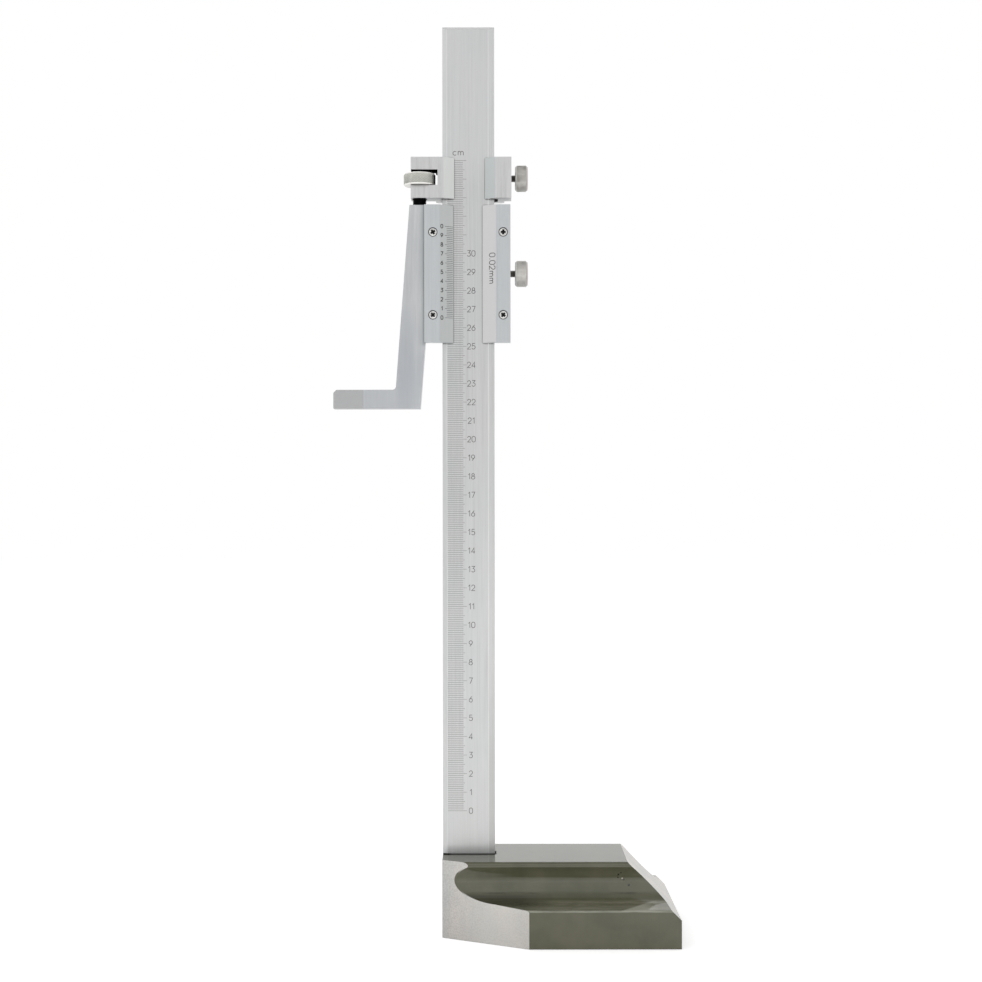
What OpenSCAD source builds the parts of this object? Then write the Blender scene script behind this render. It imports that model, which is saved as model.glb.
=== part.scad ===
// Vernier height gauge.
// A cast base holds an upright beam. A slider with a stepped jaw runs on the beam, and a fine
// adjustment carriage above it moves the slider by a knurled nut on a screw.
// Millimetres. The origin lies on the base's underside, below the beam's centre line.
// +X runs towards the far end of the base, -Y faces the reader and +Z is up.

/* [Base] */
// Length of the base, from the narrow end under the beam to the far end
base_length = 124.2; // [110:0.1:180]
// Width of the base
base_width = 80; // [72:1:120]
// Height of the base, to the top of its ridge
base_height = 41.3; // [38:0.1:50]
// Fall of the flange from the grooves' floors to its outer edge
flange_fall = 1.1; // [0.2:0.1:4]
// Width of the narrow end under the beam
nose_width = 34; // [28:1:50]
// Length of the slanted sides, measured along the base
nose_run = 45.5; // [30:0.5:60]
// Radius of the ridge's rounded edges, which run smoothly into the grooves
ridge_edge_radius = 1.85; // [0.5:0.05:3]
// Width of the ridge's neck between the two finger grooves
ridge_neck = 41.4; // [36:0.2:44]
// Radius of the finger grooves
groove_radius = 10.2; // [8:0.1:12]
// Height by which the grooves' circles would rise above the ridge
groove_rise = 0.2; // [0:0.1:2]
// Radius of the flange's top edge
flange_edge_radius = 1.2; // [0.4:0.1:3]
// Height of the end wall, below the bevel that cuts the far end
end_wall_height = 14.8; // [8:0.1:18]
// Slope of the bevel at the far end, in degrees from the horizontal
end_bevel_angle = 45; // [35:1:60]
// Width of the ground rim round the recess in the underside
foot_rim = 9; // [6:0.5:14]
// Depth of the recess in the underside
foot_recess = 2; // [1:0.5:6]
// Corner radius of the recess in the underside
foot_recess_radius = 6; // [2:0.5:10]

/* [Beam] */
// Width of the beam
beam_width = 28; // [24:0.5:36]
// Thickness of the beam
beam_thickness = 8; // [6:0.5:12]
// Height of the beam's top end above the underside of the base
beam_top = 486.9; // [470:0.1:600]
// Depth of the slot in the base that holds the beam's foot
beam_slot_depth = 25; // [18:0.5:28]
// Width of the break along the mouth of the beam's slot
slot_mouth_break = 0.8; // [0.2:0.1:1.5]
// Width of the shallow bevel beside the scale
scale_bevel_width = 2.4; // [1:0.1:4]
// Width of the shallow bevel on the other edge
plain_bevel_width = 3.2; // [1:0.1:4]
// Depth of both shallow bevels
beam_bevel_depth = 0.5; // [0.2:0.1:1]
// Bevel at the front of the beam's top end
beam_top_bevel = 1.6; // [0.5:0.1:3]
// Break along the beam's rear edges
beam_rear_break = 0.6; // [0.2:0.1:1]
// Diameter of the screws that hold the beam from below
beam_screw_d = 5; // [4:0.5:6]
// Diameter of those screws' heads
beam_screw_head_d = 8.5; // [7:0.5:10]
// Height of those screws' heads
beam_screw_head = 5; // [3:0.5:6]
// Depth of the screw heads below the base's underside
beam_screw_sink = 1.5; // [0.5:0.5:4]
// Distance between those screws
beam_screw_pitch = 15; // [12:0.5:17]
// Length of those screws in the beam
beam_screw_grip = 12; // [8:0.5:16]

/* [Scale] */
// Height of the main scale's zero line above the underside of the base
scale_zero_height = 64.7; // [62:0.1:80]
// Reading at which the slider stands
rest_reading = 265.1; // [0:0.1:300]

/* [Slider] */
// Height of the slider
slider_height = 74; // [66:0.5:90]
// Distance of the frame's lower end above the plates' lower ends
frame_lift = 1.5; // [0.5:0.1:2]
// Height of the vernier's zero line above the slider's lower end
vernier_zero_rise = 13.4; // [8:0.1:16]
// Thickness of the slider's left wall
left_wall = 9.65; // [8:0.05:14]
// Thickness of the slider's right wall
right_wall = 6.7; // [6:0.1:12]
// Thickness of the wall behind the beam
back_wall = 4; // [3:0.1:8]
// Break along the slider's and the carriage's rear edges
rear_break = 1.5; // [0.5:0.1:3]
// Gap between the beam and each face that slides on it
slide_clearance = 0.05; // [0.02:0.01:0.1]
// Radius of the relief grooves in the corners of the beam's channel
corner_relief = 0.7; // [0.3:0.1:1]
// Thickness of the gib strips
gib_thickness = 1.8; // [1.2:0.1:2.5]
// Distance of the slider's gib from either end of the slider's frame
gib_inset = 1; // [0.5:0.1:3]

/* [Arm and jaw] */
// Length of the jaw, from the arm's outer edge to its tip
jaw_length = 33.5; // [28:0.1:70]
// Height of the jaw
jaw_height = 10; // [8:0.1:14]
// Drop from the slider's lower end to the jaw's underside
jaw_drop = 35.2; // [25:0.1:45]
// Length of the ground land at the jaw's tip
jaw_land = 16.1; // [8:0.1:25]
// Depth of the ground land on each side of the jaw
jaw_land_depth = 0.4; // [0.1:0.1:1]
// Bevel on the jaw's upper corner
jaw_tip_bevel = 1.6; // [0.5:0.1:3]
// Fillet between the jaw and the arm
jaw_fillet = 2; // [1:0.1:5]
// Thickness of the arm and the jaw
arm_thickness = 10; // [8:0.1:12]
// Step from the plates' front down to the arm's front
arm_step = 1.5; // [0.5:0.1:2]
// Width of the arm beside the slider's left wall, at the top
arm_top_width = 7.9; // [6:0.1:12]
// Distance that the arm's outer edge leans out from the top to the jaw
arm_lean = 7.5; // [4:0.1:16]
// Lap of the arm's inner edge behind the vernier plate, at the slider's lower end
arm_lap = 0.6; // [0.5:0.1:4]
// Width of the arm at the jaw
arm_foot_width = 13.2; // [11:0.1:18]

/* [Plates] */
// Thickness of the vernier plate and the cover plate
plate_thickness = 3.95; // [3:0.05:6]
// Thickness of the plates' bevelled lips at their edge
plate_lip = 0.55; // [0.3:0.05:1.5]
// Overlap of the vernier plate's lip on the beam
vernier_lip_reach = 5.9; // [4:0.1:8]
// Overlap of the cover plate's lip on the beam
cover_lip_reach = 6.4; // [4:0.1:8]
// Width of the vernier plate's bevel
vernier_bevel = 7.3; // [4:0.1:8]
// Width of the cover plate's bevel
cover_bevel = 7.1; // [4:0.1:8]
// Distance of the vernier plate's screws from the slider's left side
vernier_screw_inset = 4.7; // [3.6:0.1:5]
// Distance of the cover plate's screws from the slider's right side
cover_screw_inset = 3.9; // [3.6:0.1:4.6]
// Height of the lower plate screws above the slider's lower end
plate_screw_rise = 14.8; // [14:0.1:20]
// Drop from the slider's upper end to the upper plate screws
plate_screw_drop = 14.8; // [14:0.1:20]
// Diameter of the plate screws' shanks
plate_screw_d = 3; // [2:0.1:3.4]
// Diameter of the plate screws' heads
plate_screw_head_d = 4.4; // [4:0.1:6]
// Height of the plate screws' heads
plate_screw_head = 2; // [1.4:0.1:2.2]
// Length of the plate screws in the slider
plate_screw_grip = 6; // [4:0.1:7]
// Gap round a plate screw's head in its counterbore
head_clearance = 0.3; // [0.2:0.05:0.6]
// Width of the cross recess in a plate screw's head
cross_width = 1; // [0.5:0.1:1.2]
// Length of the cross recess in a plate screw's head
cross_length = 2.6; // [2:0.1:3.5]
// Depth of the cross recess in a plate screw's head
cross_depth = 1; // [0.5:0.1:1.2]

/* [Carriage] */
// Gap between the slider and the carriage above it
carriage_gap = 3.5; // [1:0.1:8]
// Height of the carriage
carriage_height = 22; // [20:0.1:30]
// Distance from the beam's channel to the lug's left side
lug_reach = 16.8; // [16:0.1:22]
// Thickness of the carriage's right wall
carriage_right_wall = 7.25; // [6:0.05:12]
// Depth of the carriage's lug and of its right side, from front to rear
lug_depth = 10.2; // [9.4:0.1:12]
// Thickness of the bridge's side walls, behind the lug
bridge_wall = 3.6; // [3.2:0.1:5]
// Overlap of the carriage's left lip on the beam
left_lip_reach = 6.4; // [4:0.1:8]
// Overlap of the carriage's right lip on the beam
right_lip_reach = 5.1; // [4:0.1:8]
// Width of the bevels on the carriage's lips
lip_bevel = 5.6; // [4:0.1:8]
// Distance of the carriage's gib from either end of the carriage
carriage_gib_inset = 2.2; // [1:0.1:4]

/* [Fine adjustment] */
// Distance of the adjusting screw's axis outside the slider's left side
adjuster_outset = 2.55; // [2:0.05:3.5]
// Diameter of the adjusting screw
adjuster_d = 7.3; // [5:0.1:7.4]
// Depth of the adjusting screw's end below the carriage's upper end
adjuster_recess = 2.1; // [0.5:0.1:4]
// Diameter of the adjusting screw's stem in the arm
adjuster_stem_d = 4; // [3:0.1:4.4]
// Length of the adjusting screw's stem in the arm
adjuster_stem = 14; // [8:0.5:20]
// Diameter of the adjusting nut
nut_d = 17.2; // [15:0.1:17.8]
// Thickness of the adjusting nut
nut_thickness = 6.3; // [5:0.1:9]
// Bevel on the adjusting nut's rims
nut_bevel = 0.6; // [0.3:0.1:1.5]
// Height of the nut's slot above the carriage's lower end
nut_slot_rise = 6.9; // [5:0.1:8]
// Play of the nut in its slot
nut_play = 2; // [0.7:0.1:3]
// Gap below the nut in its slot
nut_clearance = 0.35; // [0.3:0.05:0.4]
// Gap between the nut's rim and the end of its slot
nut_end_gap = 1.2; // [0.3:0.1:1.5]
// Gap round the adjusting screw in the nut
thread_clearance = 0.08; // [0.02:0.01:0.1]
// Gap round the adjusting screw in the carriage
adjuster_hole_clearance = 0.3; // [0.2:0.05:0.5]

/* [Thumbscrews] */
// Diameter of the thumbscrews' knobs
knob_d = 14; // [10:0.1:16]
// Thickness of the thumbscrews' knobs
knob_thickness = 6.8; // [5:0.1:10]
// Bevel on the knobs' rims
knob_bevel = 0.9; // [0.3:0.1:1.5]
// Gap between the slider and its knob
lock_standoff = 2.5; // [1.5:0.1:6]
// Gap between the carriage and its knob
clamp_standoff = 2; // [1.5:0.1:6]
// Length of a stud inside its knob
knob_socket = 5; // [3:0.1:6]
// Diameter of the thumbscrews' studs
stud_d = 3.7; // [3:0.1:4.2]
// Gap round a stud in its bore
stud_clearance = 0.06; // [0.02:0.01:0.1]
// Distance of the studs' axes behind the plates' front
stud_setback = 6.8; // [6.2:0.1:7.4]
// Height of the slider's stud above the slider's lower end
lock_rise = 37.6; // [30:0.1:42]
// Height of the carriage's stud above the carriage's lower end
clamp_rise = 11.5; // [8:0.1:12]
// Length of the pressure pads at the studs' tips
pad_length = 1.8; // [1:0.1:3]
// Diameter of the pressure pads
pad_d = 3.2; // [2.4:0.1:3.4]
// Diameter of the noses that hold the pads in the gibs
pad_nose_d = 1.6; // [1:0.1:2]
// Depth of the noses' holes in the gibs
pad_nose = 1; // [0.6:0.1:1.1]
// Gap round and before a nose, and behind a pad
pad_clearance = 0.05; // [0.02:0.01:0.1]

/* [Gib screws] */
// Diameter of the gib's set screws
gib_screw_d = 3; // [2:0.1:3.4]
// Distance of the gib's set screws from either end of the slider
gib_screw_inset = 8; // [6:0.1:9]
// Depth of the set screws below the slider's side
gib_screw_sink = 1.4; // [0.5:0.1:2]
// Diameter of the set screws' points
gib_point_d = 1.4; // [1:0.1:1.8]
// Length of the set screws' points in the gib
gib_point = 0.8; // [0.4:0.1:1]
// Width across the flats of the set screws' sockets
gib_socket = 1.5; // [1:0.1:1.6]
// Depth of the set screws' sockets
gib_socket_depth = 1.8; // [1:0.1:2.5]

/* [Fits] */
// Gap round a screw, stem or stud that is fixed in its hole
fixed_clearance = 0.02; // [0.01:0.01:0.05]
// Gap between a flat piece and the shoulder that it is set against
seat_clearance = 0.05; // [0.02:0.01:0.1]
// Gap round a screw in a hole that it only passes through
passing_clearance = 0.25; // [0.1:0.05:0.5]

/* [Hidden] */
$fn = 64;

// Overrun of a cutting shape past the faces that it cuts
over = 1;
// Depth to which a rounding crosses the faces that it joins
fillet_bite = 0.02;

// Base
half_width = base_width / 2;
half_nose = nose_width / 2;
base_start = -beam_width / 2;
base_end = base_start + base_length;
groove_offset = ridge_neck / 2 + groove_radius;
groove_drop = groove_radius - groove_rise;
groove_height = base_height - groove_drop;
groove_floor = groove_height - groove_radius;
flange_height = groove_floor - flange_fall;
nose_reach = groove_radius + ridge_edge_radius - fillet_bite;
nose_offset = groove_offset - sqrt(pow(nose_reach, 2) - pow(groove_drop - ridge_edge_radius, 2));
nose_height = base_height - ridge_edge_radius;
nose_blend = groove_height + (nose_height - groove_height) * groove_radius / nose_reach;
end_bevel_run = (base_height - end_wall_height) / tan(end_bevel_angle);
beam_foot = base_height - beam_slot_depth;

// Beam and the faces that slide on it
half_beam = beam_width / 2;
beam_front = -beam_thickness / 2;
beam_back = beam_thickness / 2;
seat_front = beam_front - slide_clearance;
back_inner = beam_back + slide_clearance;
back_outer = back_inner + back_wall;
channel_left = half_beam + slide_clearance;
gib_inner = half_beam + slide_clearance;
gib_outer = gib_inner + gib_thickness;
channel_right = gib_outer + slide_clearance;
plate_front = seat_front - plate_thickness;

// Distances from the beam's centre line
slider_left = channel_left + left_wall;
slider_right = channel_right + right_wall;
arm_top_outer = slider_left + arm_top_width;
arm_foot_outer = arm_top_outer + arm_lean;
arm_foot_inner = arm_foot_outer - arm_foot_width;
arm_neck_inner = slider_left - arm_lap;
jaw_reach = arm_foot_outer + jaw_length;
vernier_screw_offset = slider_left - vernier_screw_inset;
cover_screw_offset = slider_right - cover_screw_inset;
carriage_left = channel_left + lug_reach;
carriage_right = channel_right + carriage_right_wall;
bridge_left = channel_left + bridge_wall;
bridge_right = channel_right + bridge_wall;
adjuster_offset = slider_left + adjuster_outset;

// Heights
slider_bottom = scale_zero_height + rest_reading - vernier_zero_rise;
slider_top = slider_bottom + slider_height;
frame_bottom = slider_bottom + frame_lift;
jaw_bottom = slider_bottom - jaw_drop;
jaw_top = jaw_bottom + jaw_height;
carriage_bottom = slider_top + carriage_gap;
carriage_top = carriage_bottom + carriage_height;
nut_slot_bottom = carriage_bottom + nut_slot_rise;
nut_slot_height = nut_thickness + nut_play;
nut_bottom = nut_slot_bottom + nut_clearance;
lock_height = slider_bottom + lock_rise;
clamp_height = carriage_bottom + clamp_rise;

// Inner faces of the thumbscrews' knobs
lock_knob_start = slider_right + lock_standoff;
clamp_knob_start = carriage_right + clamp_standoff;

// Depths
arm_front = plate_front + arm_step;
lug_back = plate_front + lug_depth;
adjuster_y = plate_front + lug_depth / 2;
stud_y = plate_front + stud_setback;

// Colours
enamel = "#646455";
steel = "#c3c5c6";
blackened = "#1d1d1e";
nickel = "#b5b1a5";
bronze = "#b08d4c";

// A cylinder that starts at a point and runs along +X
module rod_x(x, y, z, d, length) {
    translate([x, y, z]) rotate([0, 90, 0]) cylinder(d = d, h = length);
}

// A cylinder that starts at a point and runs along +Y
module rod_y(x, y, z, d, length) {
    translate([x, y, z]) rotate([-90, 0, 0]) cylinder(d = d, h = length);
}

// A cylinder that starts at a point and runs along +Z
module rod_z(x, y, z, d, length) {
    translate([x, y, z]) cylinder(d = d, h = length);
}

// A turned disc with both rims bevelled
module bevelled_disc(d, thickness, bevel) {
    r = d / 2;
    rotate_extrude()
        polygon([[0, 0], [r - bevel, 0], [r, bevel], [r, thickness - bevel], [r - bevel, thickness],
                 [0, thickness]]);
}

// A rectangle with round corners, from its lower left corner
module rounded_rectangle(length, width, radius) {
    translate([radius, 0]) square([length - 2 * radius, width]);
    translate([0, radius]) square([length, width - 2 * radius]);
    for (x = [radius, length - radius], y = [radius, width - radius])
        translate([x, y]) circle(r = radius);
}

// One half of the base's cross-section: flange, ridge and the finger groove between them
module base_half_section() {
    difference() {
        union() {
            polygon([[0, 0], [half_width, 0], [half_width, flange_height - flange_edge_radius],
                     [half_width - flange_edge_radius, flange_height], [groove_offset, groove_floor],
                     [0, groove_floor]]);
            translate([half_width - flange_edge_radius, flange_height - flange_edge_radius])
                circle(r = flange_edge_radius);
            square([groove_offset, nose_blend]);
            square([nose_offset, base_height]);
            translate([nose_offset, nose_height]) circle(r = ridge_edge_radius);
        }
        translate([groove_offset, groove_height]) circle(r = groove_radius);
    }
}

module base_blank() {
    intersection() {
        translate([base_start, 0, 0]) rotate([90, 0, 90]) linear_extrude(base_length) {
            base_half_section();
            mirror([1, 0]) base_half_section();
        }
        linear_extrude(base_height + over)
            polygon([[base_start, -half_nose], [base_start + nose_run, -half_width],
                     [base_end, -half_width], [base_end, half_width],
                     [base_start + nose_run, half_width], [base_start, half_nose]]);
    }
}

// The wedge that the bevel takes off the far end
module end_bevel_cut() {
    rise = over * tan(end_bevel_angle);
    translate([0, half_width + over, 0]) rotate([90, 0, 0]) linear_extrude(base_width + 2 * over)
        polygon([[base_end - end_bevel_run - over, base_height + rise],
                 [base_end + over, end_wall_height - rise],
                 [base_end + over, base_height + rise]]);
}

// A prism along an edge that leaves a 45 degree break there
module edge_break(length, width) {
    linear_extrude(length) rotate(45) square(width * sqrt(2), center = true);
}

// The slot for the beam's foot, open at the narrow end, with a break along its mouth
module beam_slot_cut() {
    half_slot = beam_thickness / 2 + seat_clearance;
    slot_end = half_beam + seat_clearance;
    slot_start = base_start - over;
    translate([slot_start, -half_slot, beam_foot])
        cube([slot_end - slot_start, 2 * half_slot, beam_slot_depth + over]);
    for (side = [-1, 1]) translate([slot_start, side * half_slot, base_height]) rotate([90, 0, 90])
        edge_break(slot_end - slot_start, slot_mouth_break);
    translate([slot_end, half_slot, base_height]) rotate([90, 0, 0])
        edge_break(2 * half_slot, slot_mouth_break);
}

module foot_recess_cut() {
    start = base_start + nose_run;
    translate([start, -half_width + foot_rim, -over]) linear_extrude(foot_recess + over)
        rounded_rectangle(base_end - foot_rim - start, base_width - 2 * foot_rim, foot_recess_radius);
}

module beam_screw_positions() {
    for (side = [-1, 1]) translate([side * beam_screw_pitch / 2, 0, 0]) children();
}

module base_casting() {
    color(enamel) difference() {
        base_blank();
        end_bevel_cut();
        beam_slot_cut();
        foot_recess_cut();
        beam_screw_positions() {
            rod_z(0, 0, -over, beam_screw_d + 2 * passing_clearance, beam_foot + 2 * over);
            rod_z(0, 0, -over, beam_screw_head_d + 2 * passing_clearance,
                  beam_screw_sink + beam_screw_head + over);
        }
    }
}

module beam_section() {
    polygon([[-half_beam, beam_front + beam_bevel_depth], [-half_beam + scale_bevel_width, beam_front],
             [half_beam - plain_bevel_width, beam_front], [half_beam, beam_front + beam_bevel_depth],
             [half_beam, beam_back - beam_rear_break], [half_beam - beam_rear_break, beam_back],
             [-half_beam + beam_rear_break, beam_back], [-half_beam, beam_back - beam_rear_break]]);
}

module beam() {
    length = beam_top - beam_foot;
    color(steel) difference() {
        translate([0, 0, beam_foot]) linear_extrude(length) beam_section();
        translate([half_beam + over, 0, beam_top]) rotate([90, 0, -90]) linear_extrude(beam_width + 2 * over)
            polygon([[-beam_front + over, over], [-beam_front + over, -beam_top_bevel - over],
                     [-beam_front - beam_top_bevel - over, over]]);
        beam_screw_positions()
            rod_z(0, 0, beam_foot - over, beam_screw_d + 2 * fixed_clearance, beam_screw_grip + 2 * over);
    }
}

// Cap screws that pull the beam's foot down into its slot
module beam_screws() {
    head_top = beam_screw_sink + beam_screw_head;
    color(blackened) beam_screw_positions() difference() {
        union() {
            rod_z(0, 0, beam_screw_sink, beam_screw_head_d, beam_screw_head);
            rod_z(0, 0, head_top, beam_screw_d, beam_foot - head_top + beam_screw_grip);
        }
        translate([0, 0, beam_screw_sink - over])
            cylinder(d = beam_screw_d, h = beam_screw_head / 2 + over, $fn = 6);
    }
}

// The beam's channel from a depth in front to the back wall, widened on the right for a gib
module beam_channel(front) {
    translate([-channel_left, front]) square([channel_left + channel_right, back_inner - front]);
}

// A relief groove in a left corner of the beam's channel
module channel_relief(y) {
    translate([-channel_left, y]) circle(r = corner_relief);
}

// Plan outline of the slider's guide, open at the front for the beam
module guide_section() {
    difference() {
        polygon([[-slider_left, seat_front], [slider_right, seat_front],
                 [slider_right, back_outer - rear_break], [slider_right - rear_break, back_outer],
                 [-slider_left + rear_break, back_outer], [-slider_left, back_outer - rear_break]]);
        beam_channel(seat_front - over);
        channel_relief(back_inner);
    }
}

// Front outline of the arm and the jaw below it
module arm_outline() {
    root = -channel_left - corner_relief;
    polygon([[-arm_top_outer, slider_top], [-arm_foot_outer, jaw_top],
             [-jaw_reach + jaw_tip_bevel, jaw_top], [-jaw_reach, jaw_top - jaw_tip_bevel],
             [-jaw_reach, jaw_bottom], [-arm_foot_inner, jaw_bottom],
             [-arm_neck_inner, frame_bottom], [root, frame_bottom], [root, slider_top]]);
    jaw_corner_fillet();
}

// Fillet in the corner between the jaw's upper face and the arm's outer edge
module jaw_corner_fillet() {
    lean = atan((arm_foot_outer - arm_top_outer) / (slider_top - jaw_top));
    corner_angle = 90 + lean;
    reach = jaw_fillet / tan(corner_angle / 2);
    difference() {
        polygon([[-arm_foot_outer, jaw_top], [-arm_foot_outer - reach, jaw_top],
                 [-arm_foot_outer + reach * sin(lean), jaw_top + reach * cos(lean)]]);
        translate([-arm_foot_outer - reach, jaw_top + jaw_fillet]) circle(r = jaw_fillet + fillet_bite);
    }
}

module jaw_land_cut(y) {
    translate([-jaw_reach - over, y, jaw_bottom - over]) cube([jaw_land + over, over, jaw_height + 2 * over]);
}

module plate_screw_heights() {
    for (z = [slider_bottom + plate_screw_rise, slider_top - plate_screw_drop])
        translate([0, 0, z]) children();
}

module gib_screw_heights() {
    for (z = [slider_bottom + gib_screw_inset, slider_top - gib_screw_inset])
        translate([0, 0, z]) children();
}

module slider_frame() {
    color(steel) difference() {
        union() {
            translate([0, 0, frame_bottom]) linear_extrude(slider_top - frame_bottom) guide_section();
            translate([0, arm_front + arm_thickness, 0]) rotate([90, 0, 0])
                linear_extrude(arm_thickness) arm_outline();
        }
        translate([-slider_left - seat_clearance, plate_front, slider_bottom - seat_clearance])
            cube([slider_left, plate_thickness, slider_height + over]);
        jaw_land_cut(arm_front + jaw_land_depth - over);
        jaw_land_cut(arm_front + arm_thickness - jaw_land_depth);
        plate_screw_heights() for (x = [-vernier_screw_offset, cover_screw_offset])
            rod_y(x, seat_front - over, 0, plate_screw_d + 2 * fixed_clearance, plate_screw_grip + 2 * over);
        gib_screw_heights()
            rod_x(channel_right - over, stud_y, 0, gib_screw_d + 2 * fixed_clearance,
                  slider_right - channel_right + 2 * over);
        rod_x(channel_right - over, stud_y, lock_height, stud_d + 2 * stud_clearance,
              slider_right - channel_right + 2 * over);
        rod_z(-adjuster_offset, adjuster_y, slider_top - adjuster_stem - over,
              adjuster_stem_d + 2 * fixed_clearance, adjuster_stem + 2 * over);
    }
}

// Plan outline of a plate from its outer side to its bevelled lip on the beam
module plate_section(outer, lip_reach, bevel) {
    lip_x = half_beam - lip_reach;
    polygon([[outer, seat_front], [outer, plate_front], [lip_x + bevel, plate_front],
             [lip_x, seat_front - plate_lip], [lip_x, seat_front]]);
}

// A plate on the right, with its counterbored screw holes
module guide_plate(outer, lip_reach, bevel, screw_offset) {
    start = plate_front - over;
    difference() {
        translate([0, 0, slider_bottom]) linear_extrude(slider_height)
            plate_section(outer, lip_reach, bevel);
        plate_screw_heights() {
            rod_y(screw_offset, start, 0, plate_screw_d + 2 * passing_clearance, plate_thickness + 2 * over);
            rod_y(screw_offset, start, 0, plate_screw_head_d + 2 * head_clearance, plate_screw_head + over);
        }
    }
}

module vernier_plate() {
    color(steel) mirror([1, 0, 0])
        guide_plate(slider_left, vernier_lip_reach, vernier_bevel, vernier_screw_offset);
}

module cover_plate() {
    color(steel) guide_plate(slider_right, cover_lip_reach, cover_bevel, cover_screw_offset);
}

// One plate screw, with a cross recess, its head's face in the plane of the plate's front
module plate_screw() {
    shank = plate_thickness - plate_screw_head + plate_screw_grip;
    difference() {
        union() {
            rod_y(0, plate_front, 0, plate_screw_head_d, plate_screw_head);
            rod_y(0, plate_front + plate_screw_head, 0, plate_screw_d, shank);
        }
        for (turn = [0, 90]) rotate([0, turn, 0])
            translate([-cross_length / 2, plate_front - over, -cross_width / 2])
                cube([cross_length, cross_depth + over, cross_width]);
    }
}

module vernier_plate_screws() {
    color(steel) plate_screw_heights() translate([-vernier_screw_offset, 0, 0]) plate_screw();
}

module cover_plate_screws() {
    color(steel) plate_screw_heights() translate([cover_screw_offset, 0, 0]) plate_screw();
}

// A gib strip between the beam's right edge and the wall beside it, with a hole for a pad's nose
module gib_strip(bottom, height, nose_height) {
    difference() {
        translate([gib_inner, beam_front, bottom]) cube([gib_thickness, beam_thickness, height]);
        rod_x(gib_outer - pad_nose, stud_y, nose_height, pad_nose_d + 2 * pad_clearance, pad_nose + over);
    }
}

module slider_gib() {
    color(bronze) difference() {
        gib_strip(frame_bottom + gib_inset, slider_top - frame_bottom - 2 * gib_inset, lock_height);
        gib_screw_heights()
            rod_x(gib_outer - gib_point, stud_y, 0, gib_point_d + 2 * fixed_clearance, gib_point + over);
    }
}

module carriage_gib() {
    bottom = carriage_bottom + carriage_gib_inset;
    color(bronze) gib_strip(bottom, carriage_height - 2 * carriage_gib_inset, clamp_height);
}

// Headless screws that set the gib's running clearance
module gib_set_screws() {
    tail = slider_right - gib_screw_sink;
    color(blackened) gib_screw_heights() difference() {
        union() {
            rod_x(gib_outer, stud_y, 0, gib_screw_d, tail - gib_outer);
            rod_x(gib_outer - gib_point, stud_y, 0, gib_point_d, gib_point + over);
        }
        translate([tail - gib_socket_depth, stud_y, 0]) rotate([0, 90, 0])
            cylinder(d = gib_socket / cos(30), h = gib_socket_depth + over, $fn = 6);
    }
}

// A brass pad that the stud's tip presses on the gib
module pressure_pad(height) {
    color(bronze) {
        rod_x(channel_right, stud_y, height, pad_d, pad_length);
        rod_x(gib_outer - pad_nose + pad_clearance, stud_y, height, pad_nose_d,
              pad_nose - pad_clearance + channel_right - gib_outer + pad_length / 2);
    }
}

// A thumbscrew's stud, from the pad to its seat in the knob
module thumb_stud(knob_start, height) {
    tip = channel_right + pad_length + pad_clearance;
    color(blackened) rod_x(tip, stud_y, height, stud_d, knob_start + knob_socket - tip);
}

// A thumbscrew's knob, with the blind socket for its stud
module thumb_knob(start, height) {
    color(nickel) difference() {
        translate([start, stud_y, height]) rotate([0, 90, 0])
            bevelled_disc(knob_d, knob_thickness, knob_bevel);
        rod_x(start - over, stud_y, height, stud_d + 2 * fixed_clearance, knob_socket + over);
    }
}

module lock_pad() {
    pressure_pad(lock_height);
}

module lock_stud() {
    thumb_stud(lock_knob_start, lock_height);
}

module lock_knob() {
    thumb_knob(lock_knob_start, lock_height);
}

module clamp_pad() {
    pressure_pad(clamp_height);
}

module clamp_stud() {
    thumb_stud(clamp_knob_start, clamp_height);
}

module clamp_knob() {
    thumb_knob(clamp_knob_start, clamp_height);
}

// Plan outline of the carriage: lug on the left, bridge behind the beam, bevelled lips in front
module carriage_section() {
    left_lip = -half_beam + left_lip_reach;
    right_lip = half_beam - right_lip_reach;
    difference() {
        polygon([[-carriage_left, plate_front], [left_lip - lip_bevel, plate_front],
                 [left_lip, seat_front - plate_lip], [left_lip, back_inner + over],
                 [right_lip, back_inner + over], [right_lip, seat_front - plate_lip],
                 [right_lip + lip_bevel, plate_front], [carriage_right, plate_front],
                 [carriage_right, lug_back], [bridge_right, lug_back],
                 [bridge_right, back_outer - rear_break], [bridge_right - rear_break, back_outer],
                 [-bridge_left + rear_break, back_outer], [-bridge_left, back_outer - rear_break],
                 [-bridge_left, lug_back], [-carriage_left, lug_back]]);
        beam_channel(seat_front);
        channel_relief(seat_front);
        channel_relief(back_inner);
    }
}

module carriage_body() {
    slot_right = -adjuster_offset + nut_d / 2 + nut_end_gap;
    color(steel) difference() {
        translate([0, 0, carriage_bottom]) linear_extrude(carriage_height) carriage_section();
        translate([-carriage_left - over, plate_front - over, nut_slot_bottom])
            cube([slot_right + carriage_left + over, back_outer - plate_front + 2 * over, nut_slot_height]);
        rod_z(-adjuster_offset, adjuster_y, carriage_bottom - over,
              adjuster_d + 2 * adjuster_hole_clearance, carriage_height + 2 * over);
        rod_x(channel_right - over, stud_y, clamp_height, stud_d + 2 * stud_clearance,
              carriage_right - channel_right + 2 * over);
    }
}

// The screw that stands on the slider's arm and passes up through the nut
module adjusting_screw() {
    color(blackened) {
        rod_z(-adjuster_offset, adjuster_y, slider_top, adjuster_d,
              carriage_top - adjuster_recess - slider_top);
        rod_z(-adjuster_offset, adjuster_y, slider_top - adjuster_stem, adjuster_stem_d,
              adjuster_stem + over);
    }
}

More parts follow.
